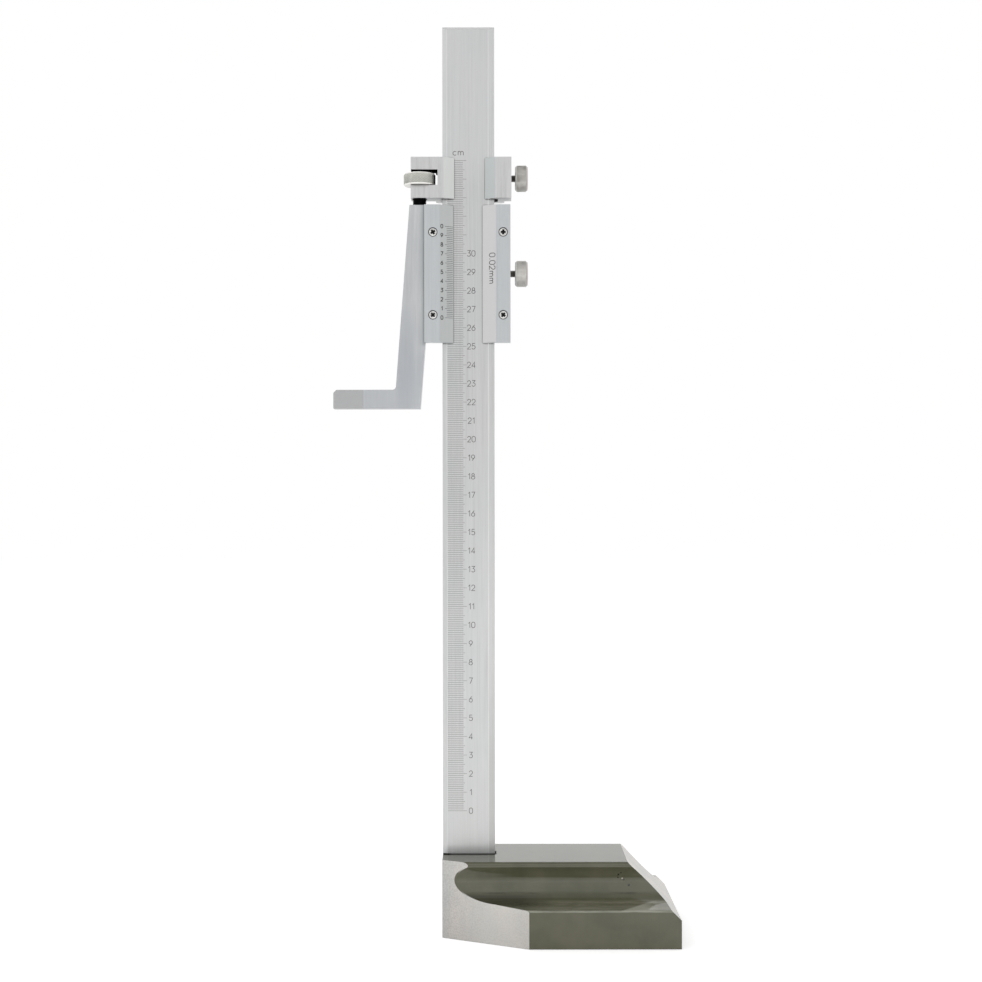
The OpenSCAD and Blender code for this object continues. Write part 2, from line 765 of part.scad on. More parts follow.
module adjusting_nut() {
    color(nickel) difference() {
        translate([-adjuster_offset, adjuster_y, nut_bottom])
            bevelled_disc(nut_d, nut_thickness, nut_bevel);
        rod_z(-adjuster_offset, adjuster_y, nut_bottom - over, adjuster_d + 2 * thread_clearance,
              nut_thickness + 2 * over);
    }
}

base_casting();
beam();
beam_screws();
slider_frame();
vernier_plate();
cover_plate();
vernier_plate_screws();
cover_plate_screws();
slider_gib();
gib_set_screws();
lock_pad();
lock_stud();
lock_knob();
carriage_body();
carriage_gib();
clamp_pad();
clamp_stud();
clamp_knob();
adjusting_screw();
adjusting_nut();
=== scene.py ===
"""Looks of the vernier height gauge: materials, scales, knurls, threads, studio and camera."""
import math

import bpy
from mathutils import Color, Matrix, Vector


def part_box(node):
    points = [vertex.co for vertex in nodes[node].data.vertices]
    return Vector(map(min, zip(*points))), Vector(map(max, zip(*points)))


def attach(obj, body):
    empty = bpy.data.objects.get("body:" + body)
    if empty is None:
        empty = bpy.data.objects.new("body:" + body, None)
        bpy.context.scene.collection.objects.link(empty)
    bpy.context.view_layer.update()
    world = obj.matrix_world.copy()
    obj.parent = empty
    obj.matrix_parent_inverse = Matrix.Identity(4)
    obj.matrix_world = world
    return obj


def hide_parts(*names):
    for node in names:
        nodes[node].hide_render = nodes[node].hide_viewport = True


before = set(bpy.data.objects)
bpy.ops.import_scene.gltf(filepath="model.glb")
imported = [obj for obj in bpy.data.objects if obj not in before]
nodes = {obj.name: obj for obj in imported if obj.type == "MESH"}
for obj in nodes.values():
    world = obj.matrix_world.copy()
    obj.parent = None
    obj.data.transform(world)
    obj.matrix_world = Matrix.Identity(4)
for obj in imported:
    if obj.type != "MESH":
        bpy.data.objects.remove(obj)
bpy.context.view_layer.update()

MM = 0.001

# Axes and directions of the frame; a turned piece has two directions across it and one along it
X_AXIS = 0
Z_AXIS = 2
LEFT = (-1, 0, 0)
RIGHT = (1, 0, 0)
FRONT = (0, -1, 0)
REAR = (0, 1, 0)
UP = (0, 0, 1)
DOWN = (0, 0, -1)
TURNING_FRAMES = {X_AXIS: (REAR, UP, RIGHT), Z_AXIS: (RIGHT, REAR, UP)}

# Main scale on the front of the beam, in millimetres of the frame
SCALE_ZERO = 64.7
SCALE_LENGTH = 350
LAST_FIGURE = 30
TICK_START = -11.3
MM_TICK_END = -2.9
HALF_TICK_END = -2.1
CM_TICK_END = -1.05
MAIN_TICK_WIDTH = 0.15
FIGURE_HEIGHT = 3.05
FIGURE_STROKE = 0.3
ONE_FIGURE_CENTRE = 1.05
TWO_FIGURE_CENTRE = 1.5
UNIT_TEXT = "cm"
UNIT_CENTRE = (-5.4, 419.3)
UNIT_HEIGHT = 3.5

# Vernier scale on the sloping edge of the vernier plate
VERNIER_ZERO = 329.8
VERNIER_LENGTH = 49.0
VERNIER_DIVISIONS = 50
VERNIER_SLOPE = ((-15.4, -8.0), (-8.1, -4.6))
VERNIER_TICK = 3.9
VERNIER_LONG_TICK = 4.9
VERNIER_TICK_WIDTH = 0.2
VERNIER_TICK_MARGIN = 0.35
VERNIER_FIGURE_HEIGHT = 2.0
VERNIER_FIGURE_STROKE = 0.42
VERNIER_FIGURE_PLACE = 1.35

# Reading of one vernier division, on the sloping edge of the cover plate
COVER_SLOPE = ((7.6, -4.6), (14.7, -8.0))
READING_TEXT = "0.02mm"
READING_TOP = 364.4
READING_BASELINE = 4.1
READING_HEIGHT = 3.4
READING_STROKE = 0.36

# Engraved strokes stand this far out of the surface and reach this far into it
MARK_LIFT = 0.012
MARK_SINK = 0.03

# Gap between letters, as a share of their height
GLYPH_GAP = 0.2

# Knurls, threads and plate screws
KNOB_KNURLS = 26
NUT_KNURLS = 32
KNURL_ASPECT = 0.8
KNURL_DEPTH = 0.52
KNURL_SAMPLES = 4
KNURL_CREST = 1.6
KNOB_RIM = 1.0
NUT_RIM = 0.65
RIM_SLOPE = 0.75
RIM_BREAK = 0.08
RIM_GROOVE = 0.24
FACE_STEP = 0.3
DISH_RIM = 1.3
DISH_SLOPE = 0.4
DISH_DEPTH = 0.25
THREAD_COLUMNS = 36
THREAD_SAMPLES = 6
THREAD_DEPTH = 0.38
THREAD_CREST = 1.25
SCREW_PITCH = 0.75
STUD_PITCH = 0.7
STUD_START = 0.3
STUD_END = 0.05
STEM_RADIUS = 2.0
STEM_LENGTH = 14.0
SCREW_END_BREAK = 0.6
SCREW_END_STEP = 0.3
NUT_BORE_GAP = 0.1
HEAD_RADIUS = 2.2
HEAD_DEPTH = 2.0
HEAD_EDGE = 0.35
HEAD_BREAK = 0.12
HEAD_DOME = 0.22
DOME_RINGS = (0.85, 0.7, 0.5, 0.25, 0.05)
HEAD_COLUMNS = 48
SHANK_RADIUS = 1.5
SHANK_END = 4.2
CROSS_LENGTH = 3.0
CROSS_WIDTH = 1.25
CROSS_DEPTH = 1.4
CROSS_RISE = 0.5
CROSS_TAPER = 0.75
CROSS_NARROWING = 0.8
SCREW_TURNS = {"vernier_plate_screws": (46, 56), "cover_plate_screws": (38, 2)}

# Angles in degrees over which the edges of turned pieces stay sharp
ROLL_SHARP = 50
THREAD_SHARP = 40
HEAD_SHARP = 35

# Broken edges of the large pieces: width, and the least angle that is broken, in degrees
EDGE_BREAKS = {
    "base_casting": (0.6, 18),
    "beam": (0.2, 6),
    "slider_frame": (0.25, 18),
    "vernier_plate": (0.12, 15),
    "cover_plate": (0.12, 15),
    "carriage_body": (0.18, 15),
}

# Camera of the photograph
IMAGE_SIZE = 982
FOCAL_PIXELS = 1583.4
PRINCIPAL_POINT = (487.6, 505.5)
CAMERA_PLACE = (10.2, -856.3, 229.0)
CAMERA_ROLL = 0.06
SENSOR = 36.0

# Grain of the ground faces, and where finishes, painted highlights and painted shade change: a band has
# its middle, half width and margin
BEAM_GRAIN = (1.0, 1.0, 0.012)
SLIDER_GRAIN = (0.8, 0.8, 0.03)
HAIRLINES = 9
STREAK_DARKNESS = 2.5
STREAK_LIGHTNESS = 1.2
CREVICE_SAMPLES = 12
HIGHLIGHT_LINES = ((10.7, 0.1, 0.16), (-11.6, 0.05, 0.1))
BEAM_SEAT = 41.3
FOOT_SHEEN = (BEAM_SEAT, 18.0, 60.0)
FOOT_STRIP = (BEAM_SEAT, 50.0, 60.0)
FOOT_DARK_REFLECTION = (BEAM_SEAT, 0.4, 5.0)
FOOT_SEAM = (BEAM_SEAT, 0.35, 0.3)
SEAM_CORNER_DIRT_AND_SHADE = (-14.0, 3.0, 2.0)
RIGHT_STRIP = (12.4, 1.5, 0.3)
UPPER_BEAM = (455.0, 35.0, 20.0)
JAW_HEIGHT = (285.0, 12.0, 40.0)
JAW_LAND = (-64.6, 8.0, 0.2)
PLATE_SHADE_SIDE = (-23.6, 0.4, 4.0)
PLATE_SHADE_HEIGHT = (353.0, 37.0, 2.0)
ARM_SIDE = (-34.0, 3.0, 2.8)
ARM_HEIGHT = (304.0, 12.0, 22.0)
NUT_SLOT = (404.95, 4.2, 0.1)
KNOB_END = (31.5, 1.5, 4.0)
STUDS = (24.6, 2.4, 0.5)
ADJUSTING_SCREW = (-26.25, 3.5, 0.5)
SATIN = 0.55
NUT_SATIN = 0.1
MATTE_SHARE = 0.9
FLANGE_EDGE = (19.6, 0.8, 0.4)
FLANGE_TOP = (20.8, 0.8, 0.8)
DUST_AND_SHEEN_PLACE = (80.0, 32.0, 18.0)
DARK_GROOVE_PLACE = (14.0, 14.0, 16.0)
DARK_GROOVE_HEIGHT = (22.4, 1.2, 1.2)
SLANT_EDGE = (16.0, 6.0, 20.0)
STREAK_HEIGHT = (25.0, 0.05, 0.7)
STREAKS = ((20.0, 10.0, 12.0), (83.4, 0.5, 12.0))
INK_FADE = 1.9
INK_LIFT = 0.015

# Spots: middle, radius and margin
CLAMP_KNOB = ((28.5, -1.2, 405.4), 8.0, 2.0)
NUT = ((-26.25, -2.9, 404.3), 9.0, 1.0)

# Front finger groove: its wall, the enamel round its mouth, and a painted reflection wedge, chip and pits
# in it
GROOVE_CENTRE = (-30.9, 31.3)
GROOVE_RADIUS = 10.2
LAP_WIDTH = 0.4
LAP_MARGIN = 0.1
LAP_HEIGHT = (30.5, 4.5, 3.0)
WEDGE_START = (84.3, -38.3, 21.1)
WEDGE_SLOPE = (1.0, -0.865, -3.35)
WEDGE_MARGIN = (-0.5, 1.5)
WEDGE_PLACE = (86.0, 5.0, 8.0)
ENAMEL_CHIP = (81.0, 32.2, 0.35)
CHIP_MARGIN = 0.15
ENAMEL_PITS = (
    (81.8, 31.5, 0.35), (84.5, 28.7, 0.45), (79.0, 34.3, 0.4), (80.3, 35.4, 0.25), (78.7, 32.8, 0.3),
)
PIT_MARGIN = 0.25

# Directions in which sloping faces and edges look, and those of the casting's milled faces
BEAM_TOP_BEVEL = (0, -1, 1)
VERNIER_BEVEL = (3.4, -7.3, 0)
COVER_BEVEL = (-3.4, -7.1, 0)
CARRIAGE_LEFT_BEVEL = (3.4, -5.6, 0)
CARRIAGE_RIGHT_BEVEL = (-3.4, -5.6, 0)
FLANGE_EDGES = ((0, -1, 1), (0, 1, 1))
MILLED_FACES = ((-22.5, -45.5, 0), (-22.5, 45.5, 0), (1, 0, 1), LEFT, DOWN)

# Studio light: what matte surfaces, reflections and the eye receive
WORLD_MATTE_LEVEL = 0.62
GLOSS_FRONT = 0.9
GLOSS_SIDES = 0.3
GLOSS_RIGHT = -0.05
GLOSS_BACK = 0.2
GLOSS_OVERHEAD = 0.45
OVERHEAD = (0.78, 0.96)
FLOOR_COLOUR = (0.82, 0.82, 0.82, 1.0)
FLOOR_LIFT_SEEN = 0.5
FLOOR_LIFT_REFLECTED = 0.36
FLOOR_LIFT_BOUNCED = 0.3
FLOOR_REFLECTED_FROM = (0.06, 0.2)

# Lamps: place, target and size in metres, then watts
LAMPS = {
    "key": ((-0.9, -1.1, 1.3), (0.0, 0.0, 0.2), 1.4, 6),
    "front": ((0.15, -1.3, 0.12), (0.05, 0.0, 0.05), 0.8, 9),
}


# Materials

def linear(red, green, blue):
    """A colour given as it shows on a screen, 0 to 255, as linear values with alpha."""
    shown = Color((red / 255, green / 255, blue / 255))
    return (*shown.from_srgb_to_scene_linear(), 1.0)


def scaled(colour, factor):
    """A colour made lighter or darker by a factor."""
    return (*(part * factor for part in colour[:3]), 1.0)


class Nodes:
    """A node tree under construction, with short calls for the nodes it needs."""

    def __init__(self, tree):
        self.tree = tree
        self.place = tree.nodes.new("ShaderNodeTexCoord")
        self.where = self.place.outputs["Object"]

    def put(self, node, socket, value):
        """Links a socket to a value that is another socket, or sets it."""
        if isinstance(value, bpy.types.NodeSocket):
            self.tree.links.new(value, node.inputs[socket])
        else:
            node.inputs[socket].default_value = value

    def make(self, kind, inputs, output=0, **settings):
        """One output of a new node, once its settings and inputs are in place."""
        node = self.tree.nodes.new(kind)
        for name, value in settings.items():
            setattr(node, name, value)
        for socket, value in inputs.items():
            self.put(node, socket, value)
        return node.outputs[output]

    def remap(self, value, low, high, new_low=0.0, new_high=1.0):
        """A value carried over from one range to another, and held at its ends."""
        inputs = {0: value, 1: low, 2: high, 3: new_low, 4: new_high}
        return self.make("ShaderNodeMapRange", inputs)

    def math(self, operation, first, second=0.0, third=0.0):
        """The result of one math node."""
        return self.make("ShaderNodeMath", {0: first, 1: second, 2: third}, operation=operation)

    def times(self, first, *others):
        """The product of some values."""
        for other in others:
            first = self.math("MULTIPLY", first, other)
        return first

    def most(self, first, *others):
        """The greatest of some values."""
        for other in others:
            first = self.math("MAXIMUM", first, other)
        return first

    def rest(self, share):
        """What a share leaves of the whole."""
        return self.math("SUBTRACT", 1.0, share)

    def measure(self, operation, first, second=(0.0, 0.0, 0.0)):
        """The single number that an operation on vectors gives."""
        return self.make("ShaderNodeVectorMath", {0: first, 1: second}, 1, operation=operation)

    def mix(self, share, first, second):
        """A number between two others."""
        return self.make("ShaderNodeMix", {0: share, 2: first, 3: second})

    def parts(self, vector):
        """The three parts of a vector."""
        split = self.tree.nodes.new("ShaderNodeSeparateXYZ")
        self.put(split, 0, vector)
        return split.outputs

    def ray(self, kind):
        """1 for light paths of one kind."""
        return self.make("ShaderNodeLightPath", {}, kind)


class Shader(Nodes):
    """A material of one principled shader."""

    def __init__(self, name):
        self.material = bpy.data.materials.new(name)
        self.material.use_nodes = True
        super().__init__(self.material.node_tree)
        self.surface = self.tree.nodes["Principled BSDF"]

    def set(self, **values):
        """Sets or links the principled shader's own sockets; underscores stand for blanks."""
        for name, value in values.items():
            self.put(self.surface, name.replace("_", " "), value)

    def blend(self, share, first, second):
        """A colour between two others."""
        return self.make("ShaderNodeMix", {0: share, 6: first, 7: second}, 2, data_type="RGBA")

    def tone(self, mask, colour, share=1.0):
        """Lays a share of a colour over the base colour so far, where a mask says."""
        so_far = self.surface.inputs["Base Color"].links[0].from_socket
        self.set(Base_Color=self.blend(self.times(mask, share), so_far, colour))

    def noise(self, scale, detail=3.0, roughness=0.55):
        """Noise with about scale features to a millimetre; each axis may have a scale of its own."""
        scales = scale if isinstance(scale, tuple) else (scale, scale, scale)
        per_metre = tuple(part / MM for part in scales)
        squeezed = self.make("ShaderNodeMapping", {"Vector": self.where, "Scale": per_metre})
        inputs = {"Vector": squeezed, "Scale": 1.0, "Detail": detail, "Roughness": roughness}
        return self.make("ShaderNodeTexNoise", inputs)

    def facing(self, low, high, *directions):
        """1 where the surface faces one of some directions, 0 where it turns away; limits as cosines."""
        normal = self.place.outputs["Normal"]
        ways = [Vector(direction).normalized() for direction in directions]
        cosines = [self.measure("DOT_PRODUCT", normal, way) for way in ways]
        return self.most(*[self.remap(cosine, low, high) for cosine in cosines])

    def within(self, away, reach, margin):
        """1 up to a distance in millimetres, fading out over a margin."""
        return self.remap(away, reach * MM, (reach + margin) * MM, 1.0, 0.0)

    def band(self, axis, middle, half_width, margin):
        """1 within a band across an axis of the object, in millimetres, fading out at its sides."""
        along = self.parts(self.where)[axis]
        away = self.math("ABSOLUTE", self.math("SUBTRACT", along, middle * MM))
        return self.within(away, half_width, margin)

    def spot(self, middle, radius, margin):
        """1 within a radius of a point of the object, in millimetres, fading out round it."""
        centre = tuple(part * MM for part in middle)
        away = self.measure("DISTANCE", self.where, centre)
        return self.within(away, radius, margin)

    def crevice(self, reach, shut=0.35, clear=0.9):
        """1 deep in corners and gaps, 0 on open surfaces; reach in millimetres is how far it looks."""
        inputs = {"Distance": reach * MM}
        openness = self.make("ShaderNodeAmbientOcclusion", inputs, 1, samples=CREVICE_SAMPLES)
        return self.remap(openness, shut, clear, 1.0, 0.0)

    def bump(self, height, depth, strength=1.0):
        """Bump whose full height is depth millimetres."""
        inputs = {"Height": height, "Distance": depth * MM, "Strength": strength}
        return self.make("ShaderNodeBump", inputs)


def ground_steel(name, colour, tint, rough, grain=BEAM_GRAIN, streaks=0.07, crevice_shade_reach=1.3):
    """Satin ground steel: hairlines along the grain, clouds of tint, scratches, painted shade in the
    corners.
    """
    steel = Shader(name)
    fine = steel.noise(tuple(HAIRLINES * part for part in grain), 4.0, 0.6)
    coarse = steel.noise(grain, 4.0, 0.65)
    cloudy = steel.noise((0.05, 0.05, 0.025), 2.0)
    speck = steel.noise(2.2, 2.0)
    darker = scaled(colour, 1.0 - STREAK_DARKNESS * streaks)
    lighter = scaled(colour, 1.0 + STREAK_LIGHTNESS * streaks)
    hairline_gloss = steel.remap(fine, 0.3, 0.7, rough - 0.06, rough + 0.06)
    steel.set(
        Base_Color=steel.blend(steel.remap(cloudy, 0.35, 0.65), colour, tint),
        Metallic=1.0,
        Roughness=steel.math("ADD", hairline_gloss, steel.remap(speck, 0.3, 0.7, -0.03, 0.03)),
        Normal=steel.bump(steel.math("ADD", fine, coarse), 0.004, 0.5),
    )
    steel.tone(steel.remap(coarse, 0.52, 0.72, 0.0, 0.75), darker)
    steel.tone(steel.remap(coarse, 0.3, 0.46, 0.7, 0.0), lighter)
    steel.tone(steel.remap(fine, 0.5, 0.75, 0.0, 0.5), darker)
    # Painted shade: darkens corners and gaps found by ambient occlusion
    steel.tone(steel.crevice(crevice_shade_reach), linear(58, 56, 53), 0.85)
    return steel


def make_beam_steel():
    """The beam's satin steel: painted highlight lines, a stoned top bevel, a painted shaded strip,
    painted sheen and a painted dark reflection at the foot, and a dark seam of dirt and painted shade.
    """
    steel = ground_steel("beam_steel", linear(207, 207, 207), linear(203, 205, 205), 0.36)
    # Painted highlight lines along the edges of the front strips
    highlight_lines = steel.most(*[steel.band(X_AXIS, *line) for line in HIGHLIGHT_LINES])
    steel.tone(highlight_lines, linear(226, 227, 226))
    # Painted sheen: lighter low on the beam
    steel.tone(steel.band(Z_AXIS, *FOOT_SHEEN), linear(228, 228, 226), 0.25)
    # Painted shade on the right strip near the foot
    shaded_strip = steel.times(steel.band(X_AXIS, *RIGHT_STRIP), steel.band(Z_AXIS, *FOOT_STRIP))
    steel.tone(shaded_strip, linear(178, 178, 174), 0.4)
    # Painted dark reflection of the base low on the beam
    steel.tone(steel.band(Z_AXIS, *FOOT_DARK_REFLECTION), linear(128, 136, 138), 0.35)
    # Dark seam at the foot: dirt in the joint with painted gap shade, darkest at the left corner
    seam = steel.band(Z_AXIS, *FOOT_SEAM)
    seam_dirt_and_shade = linear(18, 18, 18)
    steel.tone(seam, seam_dirt_and_shade, 0.62)
    steel.tone(steel.times(seam, steel.band(X_AXIS, *SEAM_CORNER_DIRT_AND_SHADE)), seam_dirt_and_shade, 0.85)
    steel.tone(steel.band(Z_AXIS, *UPPER_BEAM), linear(232, 232, 233), 0.2)
    stoned = steel.facing(0.95, 0.99, BEAM_TOP_BEVEL)
    steel.tone(stoned, linear(204, 204, 204))
    steel.set(Metallic=steel.rest(stoned))
    return steel.material


def make_slider_steel():
    """The slider's satin steel: painted shade beside the vernier plate, darker low down and down the arm,
    duller on the jaw's land.
    """
    light = linear(204, 205, 206)
    tint = linear(191, 194, 197)
    steel = ground_steel("slider_steel", light, tint, 0.38, SLIDER_GRAIN)
    steel.tone(steel.band(Z_AXIS, *JAW_HEIGHT), linear(186, 189, 193), 0.6)
    steel.tone(steel.band(X_AXIS, *JAW_LAND), linear(180, 180, 180), 0.8)
    # Painted shade on the frame's face beside the vernier plate's edge
    side = steel.band(X_AXIS, *PLATE_SHADE_SIDE)
    front = steel.facing(0.9, 0.97, FRONT)
    beside = steel.times(side, side, steel.band(Z_AXIS, *PLATE_SHADE_HEIGHT), front)
    steel.tone(beside, linear(140, 147, 148), 0.55)
    arm = steel.times(steel.band(X_AXIS, *ARM_SIDE), steel.band(Z_AXIS, *ARM_HEIGHT))
    steel.tone(arm, linear(170, 174, 180), 0.45)
    return steel.material


def make_carriage_steel():
    """The carriage's lighter satin steel, with painted highlight and shade on its bevels, and black
    grease with painted shade in the nut's slot.
    """
    light = linear(210, 210, 210)
    tint = linear(206, 207, 207)
    steel = ground_steel("carriage_steel", light, tint, 0.38, SLIDER_GRAIN, crevice_shade_reach=2.5)
    # Grease and painted black shade on the walls of the nut's slot, found partly by ambient occlusion
    walls = steel.most(steel.crevice(10.0, 0.35, 0.75), steel.facing(0.9, 0.95, DOWN, UP, LEFT))
    slot_grease_and_shade = steel.times(steel.band(Z_AXIS, *NUT_SLOT), walls)
    outside_slot_shade = steel.rest(slot_grease_and_shade)
    steel.tone(slot_grease_and_shade, linear(14, 13, 12))
    steel.set(Metallic=outside_slot_shade, Specular_IOR_Level=steel.times(outside_slot_shade, 0.5))
    # Painted highlight on one bevel and painted shade on the other, by the way each faces
    steel.tone(steel.facing(0.96, 0.99, CARRIAGE_LEFT_BEVEL), linear(208, 210, 208), 0.8)
    steel.tone(steel.facing(0.96, 0.99, CARRIAGE_RIGHT_BEVEL), linear(182, 187, 187), 0.9)
    return steel.material


def make_plate_steel():
    """The plates' fine satin steel, with painted shade on the vernier's slope and warmer on the cover
    plate's.
    """
    steel = ground_steel("plate_steel", linear(200, 203, 205), linear(196, 201, 203), 0.34)
    # Painted shade on the vernier plate's slope
    steel.tone(steel.facing(0.96, 0.99, VERNIER_BEVEL), linear(184, 187, 186), 0.9)
    steel.tone(steel.facing(0.96, 0.99, COVER_BEVEL), linear(201, 200, 200), 0.9)
    return steel.material


def groove_lap(paint):
    """1 on a narrow margin round the grooves' mouths, where the enamel laps onto the slants."""
    _, across, height = paint.parts(paint.where)
    side = paint.math("ADD", paint.math("ABSOLUTE", across), GROOVE_CENTRE[0] * MM)
    rise = paint.math("SUBTRACT", height, GROOVE_CENTRE[1] * MM)
    away = paint.math("SQRT", paint.math("MULTIPLY_ADD", side, side, paint.times(rise, rise)))
    lapped = paint.within(away, GROOVE_RADIUS + LAP_WIDTH, LAP_MARGIN)
    return paint.times(lapped, paint.band(Z_AXIS, *LAP_HEIGHT))


def dusty_wedge(paint):
    """1 beyond a slanting plane across the front groove's floor, near the groove's far end."""
    reach = paint.measure("DOT_PRODUCT", paint.where, WEDGE_SLOPE)
    start = Vector(WEDGE_START).dot(Vector(WEDGE_SLOPE))
    low, high = ((start + step) * MM for step in WEDGE_MARGIN)
    beyond = paint.remap(reach, low, high)
    return paint.times(beyond, paint.facing(0.5, 0.7, UP), paint.band(X_AXIS, *WEDGE_PLACE))


def groove_point(x, z):
    """The point on the wall of the front finger groove at a place along the base and a height."""
    return x, GROOVE_CENTRE[0] + math.sqrt(GROOVE_RADIUS ** 2 - (z - GROOVE_CENTRE[1]) ** 2), z


def lay_enamel(paint):
    """Olive grey in soft shades: nicks, painted shade in corners, darker on the groove's floor at the
    left, worn flange edges with a painted highlight, dust and painted sheen on the flange, a painted
    reflection wedge, painted dark reflection streaks, pits, a chip.
    """
    shade = paint.remap(paint.noise(0.05), 0.35, 0.65)
    paint.set(Base_Color=paint.blend(shade, linear(72, 73, 55), linear(84, 83, 66)))
    nicks = paint.remap(paint.noise(0.5, 6.0, 0.75), 0.735, 0.75, 0.0, 0.7)
    paint.tone(nicks, linear(44, 43, 36))
    # Painted shade in corners and gaps
    paint.tone(paint.crevice(1.2), linear(28, 27, 24), 0.85)

    worn = paint.remap(paint.noise((0.08, 0.4, 0.4), 3.0, 0.6), 0.35, 0.65, 0.3, 0.8)
    # Painted highlight along the flange's rounded edges, broken up by wear
    edges = paint.times(paint.facing(0.72, 0.92, *FLANGE_EDGES), paint.band(Z_AXIS, *FLANGE_EDGE))
    paint.tone(paint.times(edges, worn), linear(146, 147, 134))
    # Dust and painted sheen on the flange's top
    upper = paint.times(paint.facing(0.7, 0.96, UP), paint.band(Z_AXIS, *FLANGE_TOP))
    dust_and_sheen = paint.times(upper, worn, paint.band(X_AXIS, *DUST_AND_SHEEN_PLACE))
    paint.tone(dust_and_sheen, linear(118, 117, 100))
    # Painted reflection in a wedge on the groove's floor near its far end
    paint.tone(dusty_wedge(paint), linear(158, 157, 144), 0.8)
    # Darker on the groove's floor towards its left end
    darker_at_left = paint.times(paint.band(X_AXIS, *DARK_GROOVE_PLACE), paint.band(Z_AXIS, *DARK_GROOVE_HEIGHT))
    paint.tone(darker_at_left, linear(44, 43, 37), 0.6)

    # Painted dark reflection streaks along the groove, broken up
    broken = paint.remap(paint.noise((0.12, 0.8, 0.8)), 0.35, 0.6, 0.15, 0.8)
    across = paint.times(paint.band(Z_AXIS, *STREAK_HEIGHT), broken)
    for streak in STREAKS:
        paint.tone(paint.times(paint.band(X_AXIS, *streak), across), linear(46, 45, 34))
    for x, z, radius in ENAMEL_PITS:
        paint.tone(paint.spot(groove_point(x, z), radius, PIT_MARGIN), linear(36, 34, 26))
    x, z, radius = ENAMEL_CHIP
    paint.tone(paint.spot(groove_point(x, z), radius, CHIP_MARGIN), linear(150, 147, 136))


def make_enamel():
    """Glossy olive grey enamel over the casting, with its milled faces bare."""
    paint = Shader("enamel")
    bare = paint.times(paint.facing(0.985, 0.992, *MILLED_FACES), paint.rest(groove_lap(paint)))
    orange_peel = paint.noise(0.35, 2.0)
    curved = paint.rest(paint.facing(0.97, 0.995, UP, FRONT, REAR))
    waves = paint.times(paint.noise((0.02, 0.11, 0.11), 2.0), curved)
    peel_bump = paint.bump(paint.math("MULTIPLY_ADD", orange_peel, 0.03, waves), 0.3)

    milling = paint.noise((0.25, 0.25, 2.6), 4.0, 0.7)
    grit = paint.noise(1.6, 5.0, 0.75)
    patch = paint.remap(paint.noise((0.09, 0.09, 0.04), 4.0, 0.6), 0.35, 0.65)
    iron = paint.blend(patch, linear(222, 217, 212), linear(207, 208, 206))
    iron = paint.blend(paint.remap(grit, 0.42, 0.7, 0.0, 0.55), iron, linear(156, 151, 146))
    rubbed = paint.times(paint.band(X_AXIS, *SLANT_EDGE), 0.5)
    iron = paint.blend(rubbed, iron, linear(237, 234, 228))
    iron_bump = paint.bump(paint.math("MULTIPLY_ADD", milling, 0.5, grit), 0.03, 0.7)

    lay_enamel(paint)
    paint.tone(bare, iron)
    paint.set(
        Metallic=bare,
        Specular_IOR_Level=0.8,
        Roughness=paint.mix(bare, paint.remap(orange_peel, 0.3, 0.7, 0.1, 0.16),
                            paint.remap(grit, 0.3, 0.7, 0.42, 0.58)),
        Normal=paint.make("ShaderNodeMix", {0: bare, 4: peel_bump, 5: iron_bump}, 1, data_type="VECTOR"),
    )
    return paint.material


def make_nickel():
    """Satin nickel on knurled rolls: painted shade in grooves and slots, dull at knob ends, grimy and
    shaded darker at the clamp.
    """
    nickel = Shader("nickel")
    smear = nickel.noise(0.4)
    clouded = nickel.remap(smear, 0.3, 0.7)
    worn = nickel.remap(nickel.noise(0.75, 2.0, 0.5), 0.44, 0.62, 0.0, 0.5)
    smudge_and_shade = nickel.remap(nickel.noise(0.3, 2.0), 0.38, 0.6, 0.1, 0.9)
    nickel.set(
        Base_Color=nickel.blend(clouded, linear(248, 246, 242), linear(233, 231, 225)),
        Metallic=SATIN,
        Roughness=nickel.remap(smear, 0.3, 0.7, 0.26, 0.4),
        Normal=nickel.bump(nickel.noise(3.0, 4.0, 0.7), 0.008, 0.6),
    )
    nickel.tone(worn, linear(160, 157, 150))
    # Grime and painted shade on the clamp knob
    nickel.tone(nickel.times(nickel.spot(*CLAMP_KNOB), smudge_and_shade), linear(150, 147, 140))
    nut_plate = nickel.blend(worn, linear(214, 215, 207), linear(188, 189, 181))
    nickel.tone(nickel.spot(*NUT), nut_plate)
    nickel.tone(nickel.band(X_AXIS, *KNOB_END), linear(196, 193, 187), 0.5)
    # Painted shade in the knurls' grooves and, deeper, in the slots
    nickel.tone(nickel.crevice(0.8, 0.45, 0.92), linear(48, 46, 43))
    nickel.tone(nickel.crevice(9.0, 0.15, 0.5), linear(20, 19, 18))
    return nickel.material


def make_polished_nickel():
    """The rolls' rims and end faces: plate with turning marks, dulled on the knobs, a painted highlight
    on the nut's, painted shade in crevices.
    """
    rim = Shader("polished_nickel")
    turned = rim.noise(2.5, 3.0, 0.6)
    on_nut = rim.spot(*NUT)
    rim.set(
        Base_Color=rim.blend(rim.remap(turned, 0.35, 0.7), linear(222, 220, 215), linear(203, 201, 196)),
        Metallic=rim.remap(on_nut, 0.0, 1.0, SATIN, NUT_SATIN),
        Roughness=rim.remap(turned, 0.3, 0.7, 0.2, 0.32),
        Normal=rim.bump(turned, 0.004, 0.5),
    )
    rim.tone(rim.band(X_AXIS, *KNOB_END), linear(176, 173, 168))
    # Painted highlight on the nut's rims
    rim.tone(on_nut, linear(250, 249, 244), 0.65)
    # Painted shade in the rims' crevices
    rim.tone(rim.crevice(0.5, 0.4, 0.8), linear(70, 68, 64))
    return rim.material


